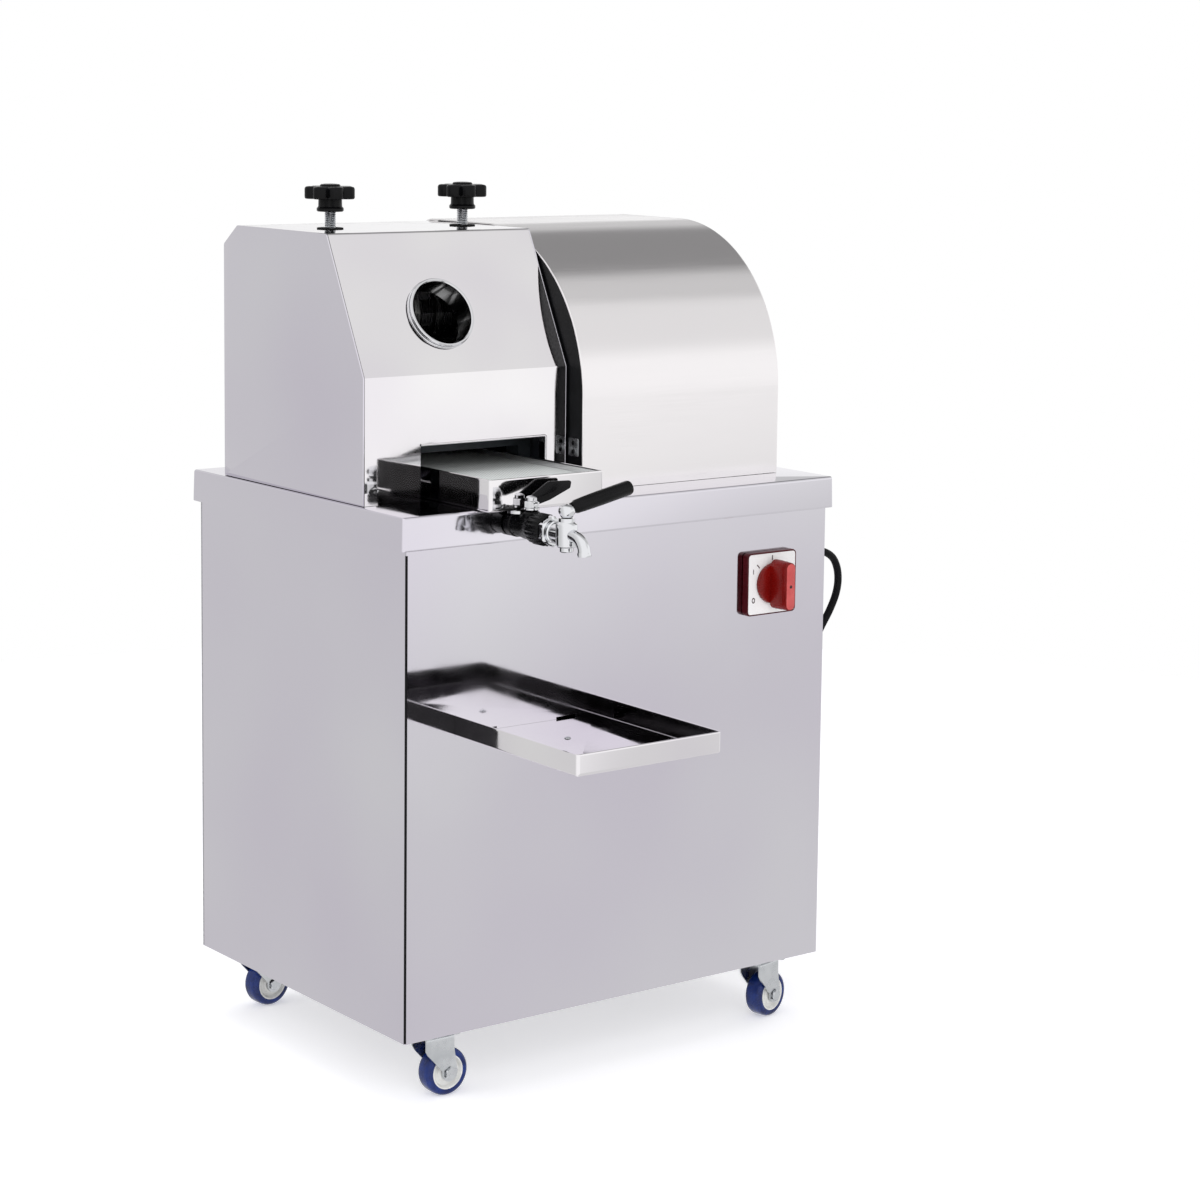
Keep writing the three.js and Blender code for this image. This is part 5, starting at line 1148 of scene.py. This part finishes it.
# Black phenolic: compression moulded, hard, with a soft gloss
phenolic, tree, skin = material(
    "moulded phenolic", "black_plastic", "#09090A", 0.25, Specular_IOR_Level=0.16
)
grain = speckle(tree, 1.4)
worn(tree, skin, grain, "Roughness", 0.18, 0.34)
worn(tree, skin, speckle(tree, 16, detail=3.0), "Base Color", "#060607", "#0E0E10")
relief(tree, skin, grain, 0.03)

# Black rubber: matt, a little grey with dust
rubber, tree, skin = material(
    "moulded rubber", "black_rubber", "#0F0F10", 0.7, Specular_IOR_Level=0.2
)
worn(tree, skin, speckle(tree, 3.0, detail=4.0), "Base Color", "#0B0B0C", "#161617")
relief(tree, skin, speckle(tree, 1.0), 0.05)

angle = np.linspace(0, 2 * np.pi, 168, endpoint=False)
lobed = STAR_REACH - LOBE + LOBE * (np.cos(LOBES * angle / 2) ** 2 + 0.004) ** 0.4
star = np.column_stack((lobed * np.cos(angle), lobed * np.sin(angle)))
star_rows = [(1.8, 0), (0.5, 0.5), (0, 1.8), (0, 10.4), (0.5, 11.8), (1.5, 12.6), (3.0, 13.0)]
turns = (KNOB_FOOT + 4 - STUD_FOOT) / PITCH
along = np.linspace(0, 1, int(turns * 6))
around = np.linspace(0, 2 * np.pi, 24, endpoint=False)
crest = 2 * np.abs(((along[:, None] * turns - around / (2 * np.pi)) % 1) - 0.5)
thread = (STUD - 0.02 - 0.8 * (1 - crest)) * np.ones((len(along), 24))
hub = [(0.01, 0), (13.0, 0), (14.0, 1.0), (14.0, 3.4), (13.2, 4.2), (12.4, 5.4)]
hub += [(12.2, HUB_HEIGHT + 0.5), (0.01, HUB_HEIGHT + 0.5)]
crown = [(0.01, 0), (10.6, 0), (10.6, 1.2), (9.6, 2.2), (6.0, 2.7), (0.01, 2.9)]
for side_name, across in zip(("left", "right"), SCREW_LINE):
    body = f"pressure_knob_{side_name}"
    at = placed(across, SCREW_BACK, 0)
    star_foot = KNOB_FOOT + HUB_HEIGHT
    place = lambda ring, up: np.column_stack((ring + at[:2], np.full(len(ring), star_foot + up)))
    knob = [stacked(star, star_rows, place), lathe(hub, at + (0, 0, KNOB_FOOT), (0, 0, 1), 48)]
    knob.append(lathe(crown, at + (0, 0, star_foot + STAR_HEIGHT - 0.1), (0, 0, 1), 48))
    piece(f"star_knob_{side_name}", knob, phenolic, body, [body])
    rows = np.column_stack((np.ones(len(along)), STUD_FOOT + along * (KNOB_FOOT + 4 - STUD_FOOT)))
    stud = lathe(rows, at, (0, 0, 1), 24, lambda *_: thread)
    piece(f"pressure_stud_{side_name}", [stud], zinc, body)
    seal = np.vstack((arc(13.0, 0.6, 0.8, -40, 90, 5), [(7.1, 1.4), (7.1, 0.02), (13.6, 0.02)]))
    ring = lathe(np.vstack((seal, seal[:1])), at + (0, 0, CAP_TOP + HEAD_HEIGHT), (0, 0, 1), 48)
    piece(f"roof_seal_{side_name}", [ring], rubber, "cabinet")


# Drive. A motor on the shelf turns a large pulley through a V-belt; its countershaft turns the bull
# gear on the rear roller. The arched cover over it is one satin sheet rolled round two end plates.
COVER_LEFT, COVER_RIGHT, COVER_FRONT, COVER_BACK = 258.8, 524.6, 56.5, 370.0
COVER_HEIGHT, COVER_RADIUS, COVER_REAR_RADIUS, HEM = 270.0, 175.5, 30.0, 1.1
BRACKET_BACK, BRACKET_UP = (62.5, 79.0), (35.0, 54.0)

# V-belt: rubber-coated cord, its flanks rubbed dull
for name in ("countershaft_pulley", "motor_pulley", "motor"):
    nodes[name].material_slots[0].material = cast_iron
nodes["drive_belt"].material_slots[0].material = rubber

# Satin stainless sheet: polished finer than brushed, so the ceiling's bands show soft on its curve
satin, tree, skin = material("satin stainless sheet", "brushed_steel", "#F5F2F3", 0.16, 1.0)
worn(tree, skin, speckle(tree, 1.2, (60, 1, 1), 3.0), "Roughness", 0.12, 0.22)
relief(tree, skin, speckle(tree, 160, detail=0.0), 0.08)

middle, spring = COVER_FRONT + COVER_RADIUS, COVER_HEIGHT - COVER_RADIUS
rear_middle, rear_spring = COVER_BACK - COVER_REAR_RADIUS, COVER_HEIGHT - COVER_REAR_RADIUS
cover_line = np.vstack(
    (
        [(COVER_FRONT, 0.3)],
        arc(middle, spring, COVER_RADIUS, 180, 90, 40),
        arc(rear_middle, rear_spring, COVER_REAR_RADIUS, 90, 0, 14),
        [(COVER_BACK, 0.3)],
    )
)
cover = [folded_sheet(cover_line, SHEET, (COVER_LEFT + HEM, COVER_RIGHT - HEM))]
for across in (COVER_LEFT + HEM, COVER_RIGHT - HEM):
    hem = beside(cover_line, SHEET / 2)
    line = placed(np.full(len(hem), across), hem[:, 0], CAP_TOP + hem[:, 1])
    cover.append(tube(line, HEM, 12))
piece("drive_cover_arched", cover, satin, "cabinet", ["drive_cover"], sharp=30)

end_outline = beside(cover_line, 2.2)[::-1]
shaft_hole = lathe(round_hole(SHAFT_HOLE, -8, 8), driven, (1, 0, 0), 48)
left_end = [side_plate(end_outline, COVER_LEFT + 0.7, 1.9, 0.3)]
piece("cover_left_end_painted", left_end, black_paint, "cabinet", ["cover_left_end"], [shaft_hole])
right_end = [side_plate(end_outline, COVER_RIGHT - 2.6, 1.9, 0.3)]
piece("cover_right_end_painted", right_end, black_paint, "cabinet", ["cover_right_end"])

brackets = []
for across in (COVER_LEFT - 0.4, COVER_RIGHT + 0.4):
    outline = box_outline(*BRACKET_BACK, *BRACKET_UP, 1.5)
    brackets.append(side_plate(outline, across - 1.1, 2.2, 0.4))
piece("cover_brackets", brackets, zinc, "cabinet")
bolts = [
    pan_screw(across, sum(BRACKET_BACK) / 2, CAP_TOP + up, (out, 0, 0), 2.6)
    for across, out in ((COVER_LEFT - 1.5, -1), (COVER_RIGHT + 1.5, 1))
    for up in (40.0, 49.0)
]
piece("cover_bracket_screws", bolts, phenolic, "cabinet")


# Juice drawer. An open tray of mirror-finished stainless under the mill, with its outlet at the
# front; it draws out forwards together with its valve and tap.
DRAWER = (87.0, 227.0, -22.0, 308.0)
DRAWER_FOOT, DRAWER_RIM, OUTLET_ACROSS, OUTLET_BACK = 604.8, 637.8, 130.0, -11.0
STRAINER_DROP, HOLE_PITCH = 8.0, 4.0

# Bead-blasted perforated sheet: matt and light, with punched holes in rows
blasted, tree, skin = material(
    "bead-blasted perforated sheet", "brushed_steel", "#E6EAE8", 0.6, 0.2
)
place = add(tree, "TexCoord").outputs["Object"]
rows = add(tree, "TexVoronoi", {"Vector": place, "Scale": 1000 / HOLE_PITCH, "Randomness": 0.0})
worn(tree, skin, rows.outputs["Distance"], "Base Color", "#4A4C4C", "#E6EAE8", 0.22, 0.27)
worn(tree, skin, speckle(tree, 2.0), "Roughness", 0.5, 0.65)

drain_at = placed(OUTLET_ACROSS, OUTLET_BACK, DRAWER_FOOT)
drain = lathe(round_hole(5.5, -4, 6), drain_at, (0, 0, 1), 24)
piece(
    "juice_drawer_folded",
    [pan(*DRAWER, 4.0, folded_up(DRAWER_FOOT, DRAWER_RIM, SHEET, 3.0))],
    mirror,
    "juice_drawer",
    ["juice_drawer"],
    [drain],
)
strainer_rows = [(1.0, 0), (0.2, 0.3), (0, 1.0), (0.2, 1.3), (1.0, 1.5)]
strainer_rows = [(2.6 + inset, DRAWER_RIM - STRAINER_DROP + up) for inset, up in strainer_rows]
strainer = pan(DRAWER[0], DRAWER[1], DRAWER[2], DRAWER[3] - 60, 4.0, strainer_rows)
piece("drawer_strainer", [strainer], blasted, "juice_drawer")


# Outlet valve. A black ball valve of moulded phenolic hangs from the drawer's outlet and points
# forwards, with a ribbed union at its front; a bright nut holds the lever, a blade on edge.
AXIS_UP, VALVE_REAR, VALVE_FRONT, VALVE_END = 589.5, 13.0, 16.0, 62.5
STEM_BACK, LEVER_FOOT, LEVER_REACH, LEVER_RISE, LEVER_THICK = -33.0, 606.5, 48.0, 27.0, 4.0
LEVER_HUB_HEIGHT = 14.5

valve_at = placed(OUTLET_ACROSS, 0, AXIS_UP)
valve = [(0.01, 1.5), (11.6, 1.5), (VALVE_REAR, 2.6), (VALVE_REAR, 11), (12.2, 12), (12.2, 26)]
valve += [(VALVE_REAR, 27), (VALVE_REAR, 35.5), (14.2, 38.0), (VALVE_FRONT - 0.6, 42.0)]
valve += [(VALVE_FRONT, 43.5), (VALVE_FRONT, 60.5), (14.4, VALVE_END), (0.01, VALVE_END)]
ribbed = lambda radius, around: radius - 0.9 * (1 - np.cos(20 * around)) / 2 * (radius > 15)
valve_grids = [lathe(valve, valve_at, (0, -1, 0), 120, ribbed)]
outlet_at = placed(OUTLET_ACROSS, OUTLET_BACK, 0)
neck = [(0.01, 589), (8, 589), (8, 600), (7.6, 604.2), (5.2, 604.3), (5.2, 609.2)]
neck += [(4.8, 609.7), (0.01, 609.7)]
valve_grids.append(lathe(neck, outlet_at, (0, 0, 1), 36))
stem_at = placed(OUTLET_ACROSS, STEM_BACK, 0)
bonnet = [(0.01, 589), (9, 589), (9, 603.6), (8, 604.6), (6, 606.1), (0.01, 606.1)]
valve_grids.append(lathe(bonnet, stem_at, (0, 0, 1), 36))
piece("outlet_valve_moulded", valve_grids, phenolic, "juice_drawer", ["outlet_valve"])
nut = [(8.2, 601.0), (11.4, 601.0), (11.4, 604.0), (8.2, 604.0), (8.2, 601.0)]
piece("outlet_collar", [lathe(nut, outlet_at, (0, 0, 1), 36)], bright, "juice_drawer")

blade_outline = filleted(
    [
        (-1.0, 5.5),
        (8.0, 5.0),
        (LEVER_REACH * 0.45, 8.3),
        (LEVER_REACH - 1.5, LEVER_RISE - 8.6),
        (LEVER_REACH, LEVER_RISE - 1.0),
        (LEVER_REACH * 0.42, LEVER_RISE),
        (-1.0, LEVER_HUB_HEIGHT - 0.5),
    ],
    (0.6, 6, 14, 2.5, 2.2, 9, 0.6),
    True,
)
blade_facing = lambda ring, along: placed(
    OUTLET_ACROSS + ring[:, 0], np.full(len(ring), STEM_BACK - along), LEVER_FOOT + ring[:, 1]
)
half = LEVER_THICK / 2
blade_rows = [(1.0, -half), (0.3, 0.3 - half), (0, 1.0 - half)]
blade_rows += [(inset, -along) for inset, along in blade_rows[::-1]]
blade = [stacked(blade_outline, blade_rows, blade_facing)]
piece("valve_lever_blade", blade, phenolic, "valve_lever", ["valve_lever"])
hub = [(0.01, 0), (7.4, 0), (7.9, 0.5), (7.9, 2.4), (0.01, 2.4)]
hub_grids = [lathe(hub, stem_at + (0, 0, LEVER_FOOT), (0, 0, 1), 40)]
hub_grids.append(hexagon(14.6, 7.0, stem_at + (0, 0, LEVER_FOOT + 2.2), (0, 0, 1)))
crown = [(0.01, 0), (5.6, 0), (5.6, 3.4), (4.6, 4.6), (2.4, 5.3), (0.01, 5.4)]
hub_grids.append(lathe(crown, stem_at + (0, 0, LEVER_FOOT + 9.0), (0, 0, 1), 32))
piece("valve_lever_nut", hub_grids, bright, "valve_lever")


# Tap. Chrome-plated brass: a hexagon union, a short barrel, a plug body with its stem on top and a
# spout that bends down; a black grip on a thin rod turns the plug.
TAP_START, TAP_NUT, TAP_STEM, TAP_TOP, SPOUT = 62.8, 9.0, 92.0, 606.5, 6.25
GRIP, GRIP_END, GRIP_LEAN, BALL = 7.5, 79.0, math.radians(12), 13.0

# Chrome on polished brass: a nearly perfect mirror
chrome, tree, skin = material("chrome plate", "chrome", "#E7E8EB", 0.05, 1.0)
worn(tree, skin, speckle(tree, 10, detail=3.0), "Roughness", 0.03, 0.1)

union_at = placed(OUTLET_ACROSS, -TAP_START, AXIS_UP)
tap = [hexagon(27.0, TAP_NUT, union_at, (0, -1, 0))]
stem_from = TAP_STEM - TAP_START
barrel = [(0.01, 8), (10.6, 8), (11.2, 9.6), (11.2, 11), (10, 12.2), (10, stem_from)]
barrel += [(0.01, stem_from)]
tap.append(lathe(barrel, union_at, (0, -1, 0), 40))
plug_line = placed(OUTLET_ACROSS, -TAP_STEM, AXIS_UP)
plug_profile = [(0.01, -17), (6.2, -17), (7, -16.2), (7, -12.6), (9.4, -12), (10.6, -11)]
plug_profile += [(11, -9.6), (11, 9.6), (10.4, 11), (8.6, 12.2), (8, 13), (8, 16.6), (0.01, 16.6)]
tap.append(lathe(plug_profile, plug_line, (0, 0, 1), 40))
spout_points = [(2, 0), (-12, 0), (-22, -3), (-28, -10), (-29, -18)]
spout_line = spline(
    [placed(OUTLET_ACROSS, back - TAP_STEM, AXIS_UP + up) for back, up in spout_points], 8
)
swelling = np.full(len(spout_line), SPOUT)
swelling[-6:] = (SPOUT, SPOUT + 0.2, SPOUT + 0.7, SPOUT + 0.8, SPOUT + 0.8, SPOUT + 0.3)
mouth = spout_line[-1] - spout_line[-2]
mouth /= np.linalg.norm(mouth)
inside = spout_line[-1] + np.array([[0.05], [-1.0], [-9.0]]) * mouth
inner_wall = tube(inside, (SPOUT - 0.9, SPOUT - 1.4, SPOUT - 1.4), 28)
spout = np.concatenate((tube(spout_line, swelling, 28), inner_wall))
tap.append(spout)
piece("tap_body_plated", tap, chrome, "juice_drawer", ["tap_body"])

rod_way = np.array([math.cos(GRIP_LEAN), 0.0, math.sin(GRIP_LEAN)])
handle_at = placed(OUTLET_ACROSS, -TAP_STEM, TAP_TOP)
ball = [(0.01, 0.2), (5.6, 0.2), (6.2, 1.0), (6.4, 2.0), (7.8, 3.6), (8.5, 6.2), (8.2, 8.6)]
ball += [(6.8, 11.0), (4.2, 12.5), (0.01, BALL)]
piece("tap_handle_ball", [lathe(ball, handle_at, (0, 0, 1), 40)], chrome, "tap_handle")
grip = [(0.01, 6), (5.2, 6), (5.8, 9), (6.8, 11), (7.2, 20), (GRIP, 40), (GRIP, GRIP_END - 3)]
grip += [(GRIP - 0.8, GRIP_END - 0.8), (GRIP - 2.2, GRIP_END), (0.01, GRIP_END)]
handle = [lathe(grip, handle_at + (0, 0, 7.5), rod_way, 40)]
piece("tap_handle_moulded", handle, phenolic, "tap_handle", ["tap_handle"])
